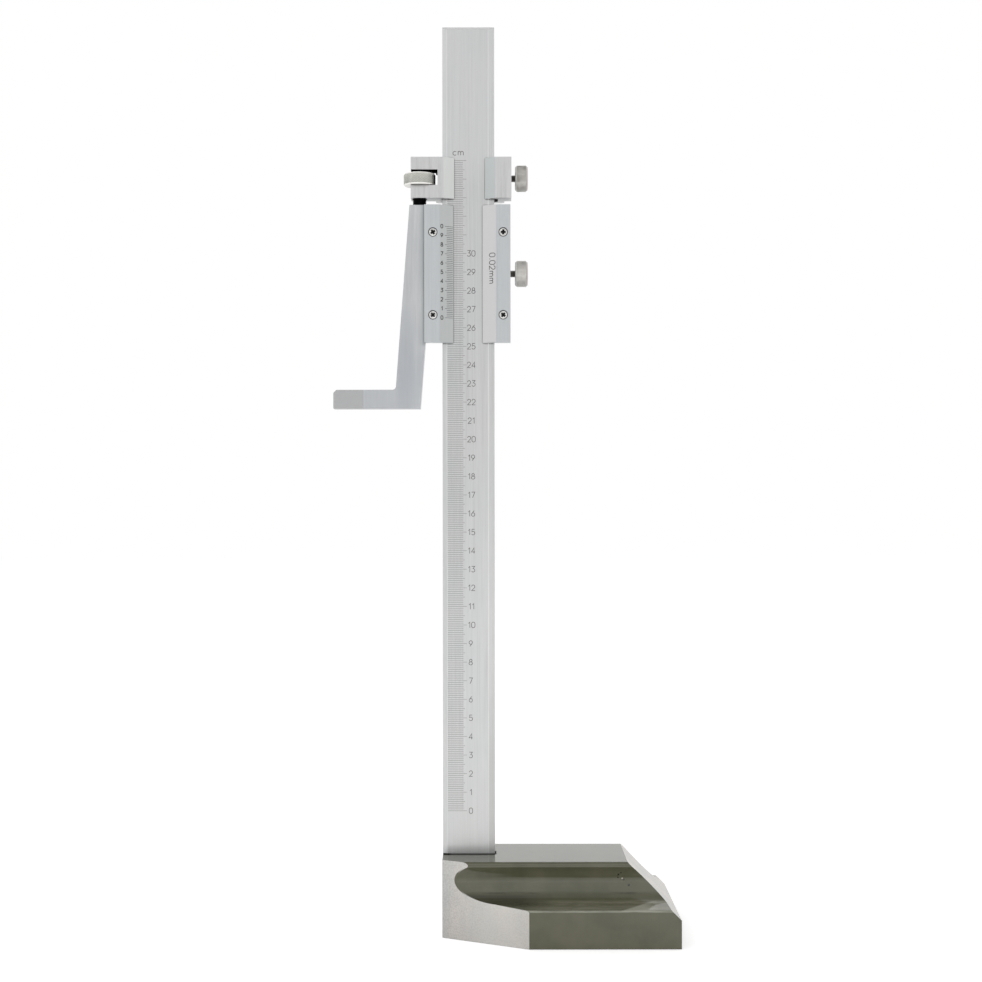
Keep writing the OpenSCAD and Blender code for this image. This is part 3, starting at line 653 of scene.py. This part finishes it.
def make_black_oxide():
    """Blackened steel with worn flanks: rubbed grey on the studs, matte on the adjusting screw."""
    black = Shader("black_oxide")
    worn = black.noise(1.1, 4.0, 0.65)
    flanks = black.remap(worn, 0.5, 0.8, 0.0, 0.6)
    rubbed = black.times(black.band(X_AXIS, *STUDS), black.remap(worn, 0.35, 0.6, 0.4, 1.0))
    matte = black.times(black.band(X_AXIS, *ADJUSTING_SCREW), MATTE_SHARE)
    black.set(
        Base_Color=black.blend(flanks, linear(15, 15, 15), linear(44, 42, 40)),
        Specular_IOR_Level=black.remap(matte, 0.0, MATTE_SHARE, 0.25, 0.04),
        Roughness=black.remap(worn, 0.3, 0.7, 0.42, 0.6),
        Normal=black.bump(worn, 0.01, 0.5),
    )
    black.tone(rubbed, linear(104, 100, 96))
    black.tone(matte, linear(5, 5, 5))
    return black.material


def make_screw_steel():
    """Bright plated screw heads, unevenly worn, with fine turning marks and painted shade round the rim
    and in the recess.
    """
    bright = Shader("screw_steel")
    fine = bright.noise(3.5)
    turned = bright.remap(fine, 0.35, 0.7)
    bright.set(
        Base_Color=bright.blend(turned, linear(250, 250, 248), linear(236, 236, 233)),
        Metallic=1.0,
        Roughness=bright.remap(fine, 0.3, 0.7, 0.14, 0.24),
        Normal=bright.bump(fine, 0.004, 0.4),
    )
    bright.tone(bright.remap(bright.noise(0.8, 2.0), 0.4, 0.58, 0.1, 0.55), linear(178, 178, 175))
    # Painted shade round the heads in their counterbores and in the recess
    bright.tone(bright.crevice(1.0, 0.45, 0.95), linear(20, 20, 19))
    return bright.material


def make_bronze():
    """Drawn bronze strip, darkened by painted shade in its crevices."""
    bronze = Shader("bronze")
    drawn = bronze.noise((5.0, 5.0, 0.15))
    dulled = bronze.remap(drawn, 0.3, 0.7)
    bronze.set(
        Base_Color=bronze.blend(dulled, linear(186, 150, 92), linear(150, 116, 66)),
        Metallic=1.0,
        Roughness=bronze.remap(drawn, 0.3, 0.7, 0.3, 0.45),
        Normal=bronze.bump(drawn, 0.006, 0.5),
    )
    # Painted shade in the crevices round the strip
    bronze.tone(bronze.crevice(4.0, 0.3, 0.8), linear(24, 20, 14))
    return bronze.material


def make_ink(name, colour):
    """Black filling of the engraved lines and figures, a little patchy."""
    ink = Shader(name)
    patchy = ink.noise(2.0)
    paler = (*(min(1.0, part * INK_FADE + INK_LIFT) for part in colour[:3]), 1.0)
    ink.set(
        Base_Color=ink.blend(ink.remap(patchy, 0.4, 0.75), colour, paler),
        Roughness=ink.remap(patchy, 0.3, 0.7, 0.5, 0.7),
    )
    return ink.material


materials = {
    "enamel": make_enamel(),
    "beam_steel": make_beam_steel(),
    "slider_steel": make_slider_steel(),
    "plate_steel": make_plate_steel(),
    "screw_steel": make_screw_steel(),
    "black_oxide": make_black_oxide(),
    "nickel": make_nickel(),
    "bronze": make_bronze(),
}
polished_nickel = make_polished_nickel()
scale_ink = make_ink("scale_ink", linear(62, 60, 56))
vernier_ink = make_ink("vernier_ink", linear(26, 26, 25))


# Broken edges and added pieces

def make_weld(distance=1e-6):
    """A modifier group that joins a mesh's split points and shades it smooth."""
    group = bpy.data.node_groups.new("weld", "GeometryNodeTree")
    for direction in ("INPUT", "OUTPUT"):
        group.interface.new_socket("Geometry", in_out=direction, socket_type="NodeSocketGeometry")
    steps = ("NodeGroupInput", "GeometryNodeMergeByDistance",
             "GeometryNodeSetShadeSmooth", "NodeGroupOutput")
    row = [group.nodes.new(step) for step in steps]
    row[1].inputs["Distance"].default_value = distance
    for before, after in zip(row, row[1:]):
        group.links.new(before.outputs[0], after.inputs[0])
    return group


weld_group = make_weld()


def rounded_edges(name, width, angle, flat_angle=0.5, segments=2, weight=80):
    """Breaks a CAD node's sharp edges by modifiers, with flat faces kept flat to the eye."""
    node = nodes[name]
    node.modifiers.new("weld", "NODES").node_group = weld_group
    planar = node.modifiers.new("planar", "DECIMATE")
    planar.decimate_type = "DISSOLVE"
    planar.angle_limit = math.radians(flat_angle)
    bevel = node.modifiers.new("edges", "BEVEL")
    bevel.width = width * MM
    bevel.segments = segments
    bevel.limit_method = "ANGLE"
    bevel.angle_limit = math.radians(angle)
    node.modifiers.new("normals", "WEIGHTED_NORMAL").weight = weight


def new_object(name, data):
    """A new object of the scene."""
    made = bpy.data.objects.new(name, data)
    bpy.context.scene.collection.objects.link(made)
    return made


def mesh_object(name, verts, faces):
    """A new object with a mesh of its own."""
    mesh = bpy.data.meshes.new(name)
    mesh.from_pydata(verts, [], faces)
    mesh.update()
    return new_object(name, mesh)


def add_piece(name, shape, body, slot, replaced=None, sharp_angle=None, material=None):
    """One mesh piece from points in millimetres, riding on a body and standing for a node if named."""
    verts, faces = shape
    piece = mesh_object(name, [tuple(part * MM for part in point) for point in verts], faces)
    piece.data.validate()
    piece.data.materials.append(material or materials[slot])
    if sharp_angle is not None:
        piece.data.shade_smooth()
        piece.data.set_sharp_from_angle(angle=math.radians(sharp_angle))
    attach(piece, body)
    if replaced:
        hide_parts(replaced)
    return piece


# Engraved scales

def arc(centre, radii, start, end, steps=10):
    """Points of an elliptical arc, angles in degrees."""
    points = []
    for step in range(steps + 1):
        angle = math.radians(start + (end - start) * step / steps)
        points.append((centre[0] + radii[0] * math.cos(angle), centre[1] + radii[1] * math.sin(angle)))
    return points


def half_turned(stroke, width):
    """A stroke turned upside down within its width."""
    return [(width - u, 1.0 - v) for u, v in stroke]


def make_glyphs():
    """Single-stroke figures and letters: width and strokes, on a height of 1."""
    nought = arc((0.3, 0.68), (0.3, 0.32), 180, 0) + arc((0.3, 0.32), (0.3, 0.32), 0, -180)
    six = [(0.47, 1.0)] + arc((0.3, 0.31), (0.29, 0.31), 152, 512, 18)
    eight = [arc((0.3, 0.77), (0.23, 0.23), -90, 270, 16), arc((0.3, 0.27), (0.3, 0.27), 90, 450, 16)]
    three = [(0.03, 1.0), (0.57, 1.0), (0.27, 0.6)] + arc((0.28, 0.3), (0.31, 0.3), 85, -152)
    five = [(0.55, 1.0), (0.11, 1.0), (0.06, 0.52)] + arc((0.29, 0.32), (0.31, 0.32), 132, -152)
    hump = arc((0.25, 0.4), (0.2, 0.2), 180, 0) + [(0.45, 0.0)]
    next_hump = [(u + 0.4, v) for u, v in hump]
    return {
        "0": (0.6, [nought + nought[:1]]),
        "1": (0.4, [[(0.06, 0.76), (0.3, 1.0), (0.3, 0.0)]]),
        "2": (0.6, [arc((0.3, 0.7), (0.28, 0.3), 172, -32) + [(0.02, 0.0), (0.6, 0.0)]]),
        "3": (0.6, [three]),
        "4": (0.62, [[(0.46, 0.0), (0.46, 1.0), (0.0, 0.27), (0.62, 0.27)]]),
        "5": (0.6, [five]),
        "6": (0.6, [six]),
        "7": (0.6, [[(0.02, 1.0), (0.6, 1.0), (0.2, 0.0)]]),
        "8": (0.6, eight),
        "9": (0.6, [half_turned(six, 0.6)]),
        "c": (0.56, [arc((0.3, 0.3), (0.29, 0.3), 48, 312)]),
        "m": (0.9, [[(0.05, 0.0), (0.05, 0.6)], hump, next_hump]),
        ".": (0.2, [[(0.1, 0.0), (0.1, 0.14)]]),
    }


GLYPHS = make_glyphs()


def text_width(text):
    """Width of a text, as a share of its height."""
    return sum(GLYPHS[letter][0] + GLYPH_GAP for letter in text) - GLYPH_GAP


def ribbon_sides(stroke, half_width, closed, sharpest=0.45):
    """Left and right edges of a stroke, mitred at its corners."""
    count = len(stroke)
    sides = []
    for index, point in enumerate(stroke):
        here = Vector(point)
        before = Vector(stroke[index - 1]) if index or closed else None
        after = Vector(stroke[(index + 1) % count]) if index + 1 < count or closed else None
        into = (here - before).normalized() if before is not None else (after - here).normalized()
        away = (after - here).normalized() if after is not None else into
        middle = (into + away).normalized()
        normal = Vector((-middle.y, middle.x))
        mitre = half_width / max(sharpest, normal.dot(Vector((-into.y, into.x))))
        sides.append((here + normal * mitre, here - normal * mitre))
    return sides


class Engraving:
    """Flat filled strokes on one plane of the object, gathered into one mesh."""

    def __init__(self, origin, along, up):
        self.origin = Vector(origin)
        self.along = Vector(along).normalized()
        self.up = Vector(up).normalized()
        self.out = self.along.cross(self.up)
        self.verts = []
        self.faces = []

    def stroke(self, points, width):
        """Adds one line or closed loop."""
        closed = len(points) > 2 and (Vector(points[0]) - Vector(points[-1])).length < width / 100
        if closed:
            points = points[:-1]
        sides = ribbon_sides(points, width / 2, closed)
        first = len(self.verts)
        for left, right in sides:
            for lift in (MARK_LIFT, -MARK_SINK):
                for edge in (left, right):
                    flat = self.along * edge.x + self.up * edge.y
                    self.verts.append(self.origin + flat + self.out * lift)
        count = len(sides)
        for index in range(count if closed else count - 1):
            here = first + 4 * index
            there = first + 4 * ((index + 1) % count)
            for near, far in ((0, 1), (1, 3), (3, 2), (2, 0)):
                self.faces.append((here + near, here + far, there + far, there + near))
        if not closed:
            last = first + 4 * (count - 1)
            self.faces.append((first, first + 2, first + 3, first + 1))
            self.faces.append((last, last + 1, last + 3, last + 2))

    def text(self, text, height, corner, width):
        """Adds a text from its lower left corner, in the plane's own millimetres."""
        along, base = corner
        for letter in text:
            advance, shapes = GLYPHS[letter]
            for shape in shapes:
                self.stroke([(along + u * height, base + v * height) for u, v in shape], width)
            along += (advance + GLYPH_GAP) * height

    def centred_text(self, text, height, middle, width):
        """Adds a text round its middle."""
        left = middle[0] - text_width(text) * height / 2
        self.text(text, height, (left, middle[1] - height / 2), width)

    def build(self, name, material, body):
        """Makes one piece of all the strokes."""
        add_piece(name, (self.verts, self.faces), body, "black_oxide", material=material)


def slope_plane(start, end):
    """A sloping edge: a point on its first side, its direction across the gauge and its width."""
    along = (end[0] - start[0], end[1] - start[1], 0)
    return (start[0], start[1], 0), along, math.hypot(along[0], along[1])


def make_main_scale():
    """Millimetre lines, figures for the centimetres and their unit on the front of the beam."""
    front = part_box("beam")[0][1] / MM
    scale = Engraving((0, front, 0), RIGHT, UP)
    for division in range(SCALE_LENGTH + 1):
        height = SCALE_ZERO + division
        end = MM_TICK_END
        if division % 5 == 0:
            end = CM_TICK_END if division % 10 == 0 else HALF_TICK_END
        scale.stroke([(TICK_START, height), (end, height)], MAIN_TICK_WIDTH)
    for figure in range(LAST_FIGURE + 1):
        text = str(figure)
        middle = ONE_FIGURE_CENTRE if len(text) == 1 else TWO_FIGURE_CENTRE
        scale.centred_text(text, FIGURE_HEIGHT, (middle, SCALE_ZERO + 10 * figure), FIGURE_STROKE)
    scale.centred_text(UNIT_TEXT, UNIT_HEIGHT, UNIT_CENTRE, FIGURE_STROKE)
    scale.build("main_scale", scale_ink, "stand")


def make_vernier_scale():
    """The vernier's lines on the slope of its plate, each fifth one longer and numbered."""
    origin, along, width = slope_plane(*VERNIER_SLOPE)
    scale = Engraving(origin, along, UP)
    spacing = VERNIER_LENGTH / VERNIER_DIVISIONS
    for division in range(VERNIER_DIVISIONS + 1):
        height = VERNIER_ZERO + spacing * division
        numbered = division % 5 == 0
        start = width - (VERNIER_LONG_TICK if numbered else VERNIER_TICK)
        scale.stroke([(start, height), (width - VERNIER_TICK_MARGIN, height)], VERNIER_TICK_WIDTH)
        if numbered:
            figure = str(division // 5 % 10)
            middle = (VERNIER_FIGURE_PLACE, height)
            scale.centred_text(figure, VERNIER_FIGURE_HEIGHT, middle, VERNIER_FIGURE_STROKE)
    scale.build("vernier_scale", vernier_ink, "slider")


def make_reading_mark():
    """The reading runs down the cover plate's slope, the tops of its figures to the right."""
    start, across, _ = slope_plane(*COVER_SLOPE)
    mark = Engraving((start[0], start[1], READING_TOP), DOWN, across)
    mark.text(READING_TEXT, READING_HEIGHT, (0, READING_BASELINE), READING_STROKE)
    mark.build("reading_mark", vernier_ink, "slider")


# Turned pieces

def lathe(profile, columns, axis, centre, radius_at=None, closed=False):
    """Points and faces of a turned solid; a closed profile makes a ring, an open one is capped."""
    start, side, along = (Vector(direction) for direction in TURNING_FRAMES[axis])
    verts = []
    faces = []
    for radius, place in profile:
        for column in range(columns):
            angle = 2 * math.pi * column / columns
            reach = radius_at(radius, place, angle) if radius_at else radius
            turned = start * math.cos(angle) + side * math.sin(angle)
            verts.append(Vector(centre) + turned * reach + along * place)
    rings = len(profile)
    for ring in range(rings if closed else rings - 1):
        here = ring * columns
        there = (ring + 1) % rings * columns
        for column in range(columns):
            beside = (column + 1) % columns
            faces.append((here + column, here + beside, there + beside, there + column))
    if not closed:
        for ring, flip in ((0, True), (rings - 1, False)):
            middle = len(verts)
            verts.append(Vector(centre) + along * profile[ring][1])
            for column in range(columns):
                beside = (column + 1) % columns
                pair = (ring * columns + beside, ring * columns + column)
                faces.append((middle, *pair) if flip else (middle, *pair[::-1]))
    return verts, faces


def even_rings(radius, low, high, count):
    """Rings of one radius in even steps along the axis."""
    return [(radius, low + (high - low) * step / count) for step in range(count + 1)]


def triangle_wave(phase):
    """0 at whole numbers, 1 half way between them."""
    return 2 * abs(phase - math.floor(phase + 0.5))


def knurled_band(radius, low, high, knurls):
    """Rings of a diamond-knurled band, and the radius at each of its points."""
    pitch = 2 * math.pi * radius / knurls
    rise_pitch = pitch * KNURL_ASPECT
    count = round((high - low) / rise_pitch * KNURL_SAMPLES)

    def radius_at(asked, place, angle):
        if asked < radius or place < low or place > high:
            return asked
        turn = knurls * angle / (2 * math.pi)
        rise = (place - low) / rise_pitch
        crest = min(triangle_wave(turn + rise), triangle_wave(turn - rise))
        return asked - KNURL_DEPTH * (1.0 - min(1.0, KNURL_CREST * crest))

    return even_rings(radius, low, high, count), radius_at


def rim_profile(radius, face, rim):
    """A roll's bevelled rim from its flat face to the knurl; the sign of rim points into the roll."""
    inward = math.copysign(1, rim)
    edge = radius - RIM_SLOPE * abs(rim)
    return [(edge - FACE_STEP, face), (edge, face + inward * RIM_BREAK),
            (radius - RIM_GROOVE, face + rim - inward * RIM_GROOVE / 2)]


def roll_profile(radius, low, high, knurls, rim):
    """A knurled roll's profile between its two flat faces, and the radius at each of its points."""
    band, radius_at = knurled_band(radius, low + rim, high - rim, knurls)
    return rim_profile(radius, low, rim) + band + rim_profile(radius, high, -rim)[::-1], radius_at


def box_in_mm(name):
    """The lowest and the highest corner of a CAD node."""
    return [[part / MM for part in corner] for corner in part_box(name)]


def middles(low, high):
    """The point half way between two corners."""
    return [(first + second) / 2 for first, second in zip(low, high)]


def polish_rims(piece, axis, low, high, rim):
    """Gives a roll's two rims and end faces the brighter plate."""
    piece.data.materials.append(polished_nickel)
    for face in piece.data.polygons:
        place = face.center[axis] / MM
        face.material_index = int(place < low + rim or place > high - rim)


def make_knob(name, body):
    """A knurled thumbscrew head with bevelled rims and a shallow dish in its outer end."""
    low, high = box_in_mm(name)
    radius = (high[2] - low[2]) / 2
    centre = (0, *middles(low, high)[1:])
    profile, radius_at = roll_profile(radius, low[0], high[0], KNOB_KNURLS, KNOB_RIM)
    dish = profile[-1][0] - DISH_RIM
    floor = high[0] - DISH_DEPTH
    profile += [(dish, high[0]), (dish - DISH_SLOPE, floor), (DISH_SLOPE, floor)]
    shape = lathe(profile, KNOB_KNURLS * KNURL_SAMPLES, X_AXIS, centre, radius_at)
    piece = add_piece(name + "_knurled", shape, body, "nickel", name, ROLL_SHARP)
    polish_rims(piece, X_AXIS, low[0], high[0], KNOB_RIM)


def make_nut():
    """The knurled adjusting nut, a ring round its screw."""
    low, high = box_in_mm("adjusting_nut")
    screw_low, screw_high = box_in_mm("adjusting_screw")
    bore = (screw_high[0] - screw_low[0]) / 2 + NUT_BORE_GAP
    centre = (*middles(low, high)[:2], 0)
    profile, radius_at = roll_profile((high[0] - low[0]) / 2, low[2], high[2], NUT_KNURLS, NUT_RIM)
    profile = [(bore, low[2])] + profile + [(bore, high[2])]
    shape = lathe(profile, NUT_KNURLS * KNURL_SAMPLES, Z_AXIS, centre, radius_at, True)
    piece = add_piece("adjusting_nut_knurled", shape, "nut", "nickel", "adjusting_nut", ROLL_SHARP)
    polish_rims(piece, Z_AXIS, low[2], high[2], NUT_RIM)


def thread_profile(radius, low, high, pitch):
    """Rings close enough for a thread, and the radius at each of its points."""
    count = round((high - low) / pitch * THREAD_SAMPLES)

    def radius_at(asked, place, angle):
        if asked < radius:
            return asked
        crest = triangle_wave(place / pitch - angle / (2 * math.pi))
        return asked - THREAD_DEPTH * (1.0 - min(1.0, THREAD_CREST * crest))

    return even_rings(radius, low, high, count), radius_at


def make_adjusting_screw():
    """The adjusting screw: a plain stem in the slider and a thread through the nut."""
    low, high = box_in_mm("adjusting_screw")
    radius = (high[0] - low[0]) / 2
    root = radius - THREAD_DEPTH
    shoulder = low[2] + STEM_LENGTH
    rings, radius_at = thread_profile(radius, shoulder, high[2] - SCREW_END_BREAK, SCREW_PITCH)
    stem = [(STEM_RADIUS, low[2]), (STEM_RADIUS, shoulder)]
    profile = stem + rings + [(root - SCREW_END_STEP, high[2])]
    shape = lathe(profile, THREAD_COLUMNS, Z_AXIS, (*middles(low, high)[:2], 0), radius_at)
    add_piece("adjusting_screw_threaded", shape, "slider", "black_oxide", "adjusting_screw", THREAD_SHARP)


def make_stud(name, body):
    """A thumbscrew's threaded stud."""
    low, high = box_in_mm(name)
    radius = (high[2] - low[2]) / 2
    root = radius - THREAD_DEPTH
    rings, radius_at = thread_profile(radius, low[0] + STUD_START, high[0] - STUD_END, STUD_PITCH)
    profile = [(root, low[0])] + rings + [(root, high[0])]
    shape = lathe(profile, THREAD_COLUMNS, X_AXIS, (0, *middles(low, high)[1:]), radius_at)
    add_piece(name + "_threaded", shape, body, "black_oxide", name, THREAD_SHARP)


def plain_screw():
    """A domed screw without its recess, its head at the origin and its shank towards +Z."""
    profile = [(SHANK_RADIUS, SHANK_END), (SHANK_RADIUS, HEAD_DEPTH), (HEAD_RADIUS, HEAD_DEPTH),
               (HEAD_RADIUS, HEAD_EDGE), (HEAD_RADIUS - HEAD_BREAK, HEAD_EDGE - HEAD_BREAK)]
    for share in DOME_RINGS:
        profile.append((HEAD_RADIUS * share, HEAD_DOME * share * share))
    return lathe(profile, HEAD_COLUMNS, Z_AXIS, (0, 0, 0))


def cross_cutter():
    """The driver's cross: four tapered wings as one closed block."""
    half = CROSS_WIDTH / 2
    wing = CROSS_LENGTH / 2
    quarter = [(wing, -half), (wing, half), (half, half)]
    outline = []
    for _ in range(4):
        outline += quarter
        quarter = [(-v, u) for u, v in quarter]

    def drawn_in(part):
        return part * (CROSS_TAPER if abs(part) > half else CROSS_NARROWING)

    verts = [(u, v, -CROSS_RISE) for u, v in outline]
    verts += [(drawn_in(u), drawn_in(v), CROSS_DEPTH) for u, v in outline]
    count = len(outline)
    faces = [tuple(range(count))[::-1], tuple(range(count, 2 * count))]
    for index in range(count):
        beside = (index + 1) % count
        faces.append((index, beside, count + beside, count + index))
    return verts, faces


def cut_mesh(body, cutter):
    """Mesh data of a body with a cutter taken out of it; both helpers are removed."""
    cut = body.modifiers.new("cut", "BOOLEAN")
    cut.object = cutter
    cut.solver = "EXACT"
    graph = bpy.context.evaluated_depsgraph_get()
    result = bpy.data.meshes.new_from_object(body.evaluated_get(graph))
    for helper in (body, cutter):
        bpy.data.objects.remove(helper)
    return result


def in_recess(point):
    """Whether a point of the pattern screw lies on its cross recess."""
    inside = math.hypot(point.x, point.y) < CROSS_LENGTH / 2
    return inside and HEAD_DOME < point.z < HEAD_DEPTH - HEAD_EDGE


def make_plate_screws():
    """The four cross-recessed plate screws, each turned its own way, two to a node."""
    pattern = cut_mesh(mesh_object("head", *plain_screw()), mesh_object("cutter", *cross_cutter()))
    recessed = [in_recess(face.center) for face in pattern.polygons]
    for name, turns in SCREW_TURNS.items():
        low, high = box_in_mm(name)
        middle = middles(low, high)[0]
        verts = []
        faces = []
        for turn, height in zip(turns, (low[2] + HEAD_RADIUS, high[2] - HEAD_RADIUS)):
            first = len(verts)
            cosine = math.cos(math.radians(turn))
            sine = math.sin(math.radians(turn))
            for vert in pattern.vertices:
                u = vert.co.x * cosine - vert.co.y * sine
                v = vert.co.x * sine + vert.co.y * cosine
                verts.append((middle + u, low[1] + vert.co.z, height - v))
            for face in pattern.polygons:
                faces.append(tuple(first + index for index in face.vertices))
        piece = add_piece(name + "_crossed", (verts, faces), "slider", "screw_steel", name, HEAD_SHARP)
        # The recess faces take the black material as painted shade
        piece.data.materials.append(materials["black_oxide"])
        for face, dark in zip(piece.data.polygons, recessed * len(turns)):
            face.material_index = int(dark)


# Dressing of the gauge

for node in nodes.values():
    for place in node.material_slots:
        place.material = materials[place.material.name.split(".")[0]]

nodes["carriage_body"].material_slots[0].material = make_carriage_steel()

for name, (width, angle) in EDGE_BREAKS.items():
    rounded_edges(name, width, angle)

make_main_scale()
make_vernier_scale()
make_reading_mark()
make_knob("lock_knob", "lock_thumbscrew")
make_knob("clamp_knob", "clamp_thumbscrew")
make_nut()
make_adjusting_screw()
make_stud("lock_stud", "lock_thumbscrew")
make_stud("clamp_stud", "clamp_thumbscrew")
make_plate_screws()


# Studio and camera

def make_floor(half_size=6.0, drop=0.0002):
    """A white floor that keeps its shadow, lifted for the eye, for reflections and as bounced light."""
    signs = ((-1, -1), (1, -1), (1, 1), (-1, 1))
    corners = [(x * half_size, y * half_size, -drop) for x, y in signs]
    floor = mesh_object("floor", corners, [(0, 1, 2, 3)])
    white = bpy.data.materials.new("floor_white")
    white.use_nodes = True
    white.node_tree.nodes.clear()
    shader = Nodes(white.node_tree)
    matte = shader.make("ShaderNodeBsdfDiffuse", {"Color": FLOOR_COLOUR})
    seen = shader.times(shader.ray("Is Camera Ray"), FLOOR_LIFT_SEEN)
    away = shader.measure("LENGTH", shader.where)
    reflected = shader.remap(away, *FLOOR_REFLECTED_FROM, 0.0, FLOOR_LIFT_REFLECTED)
    lifted = shader.math("MULTIPLY_ADD", shader.ray("Is Glossy Ray"), reflected, seen)
    lifted = shader.math("MULTIPLY_ADD", shader.ray("Is Diffuse Ray"), FLOOR_LIFT_BOUNCED, lifted)
    glow = shader.make("ShaderNodeEmission", {"Strength": lifted})
    both = shader.make("ShaderNodeAddShader", {0: matte, 1: glow})
    shader.put(shader.tree.nodes.new("ShaderNodeOutputMaterial"), "Surface", both)
    floor.data.materials.append(white)


def make_world():
    """White to the eye, a soft room in reflections, and lower as light on matte surfaces."""
    world = bpy.data.worlds.new("studio")
    world.use_nodes = True
    bpy.context.scene.world = world
    room = Nodes(world.node_tree)
    x, y, z = room.parts(room.place.outputs["Generated"])
    gloss = room.math("MULTIPLY_ADD", room.times(x, x), GLOSS_SIDES, GLOSS_FRONT)
    gloss = room.math("MULTIPLY_ADD", x, GLOSS_RIGHT, gloss)
    gloss = room.math("MULTIPLY_ADD", room.most(y, 0.0), GLOSS_BACK, gloss)
    gloss = room.times(gloss, room.remap(z, *OVERHEAD, 1.0, GLOSS_OVERHEAD))
    seen = room.most(room.ray("Is Camera Ray"), room.ray("Is Transmission Ray"))
    level = room.mix(room.ray("Is Glossy Ray"), WORLD_MATTE_LEVEL, gloss)
    background = room.tree.nodes["Background"]
    room.put(background, "Color", (1.0, 1.0, 1.0, 1.0))
    room.put(background, "Strength", room.mix(seen, level, 1.0))


def make_lamp(name, place, target, size, watts):
    """A soft square lamp that lights matte surfaces and leaves no spot in reflections."""
    lamp = bpy.data.lights.new(name, "AREA")
    lamp.size = size
    lamp.energy = watts
    shown = new_object(name, lamp)
    shown.location = place
    shown.rotation_euler = (Vector(target) - Vector(place)).to_track_quat("-Z", "Y").to_euler()
    shown.visible_glossy = False


def make_camera():
    """The photograph's camera: all but level, its principal point a little off the picture's middle."""
    camera = bpy.data.cameras.new("photo_camera")
    camera.sensor_fit = "HORIZONTAL"
    camera.sensor_width = SENSOR
    camera.lens = FOCAL_PIXELS / IMAGE_SIZE * SENSOR
    camera.shift_x = 0.5 - PRINCIPAL_POINT[0] / IMAGE_SIZE
    camera.shift_y = PRINCIPAL_POINT[1] / IMAGE_SIZE - 0.5
    shown = new_object("photo_camera", camera)
    shown.location = tuple(part * MM for part in CAMERA_PLACE)
    shown.rotation_euler = (math.pi / 2, math.radians(CAMERA_ROLL), 0)
    bpy.context.scene.camera = shown


make_floor()
make_world()
for name, settings in LAMPS.items():
    make_lamp(name, *settings)
make_camera()
bpy.context.scene.view_settings.view_transform = "Standard"
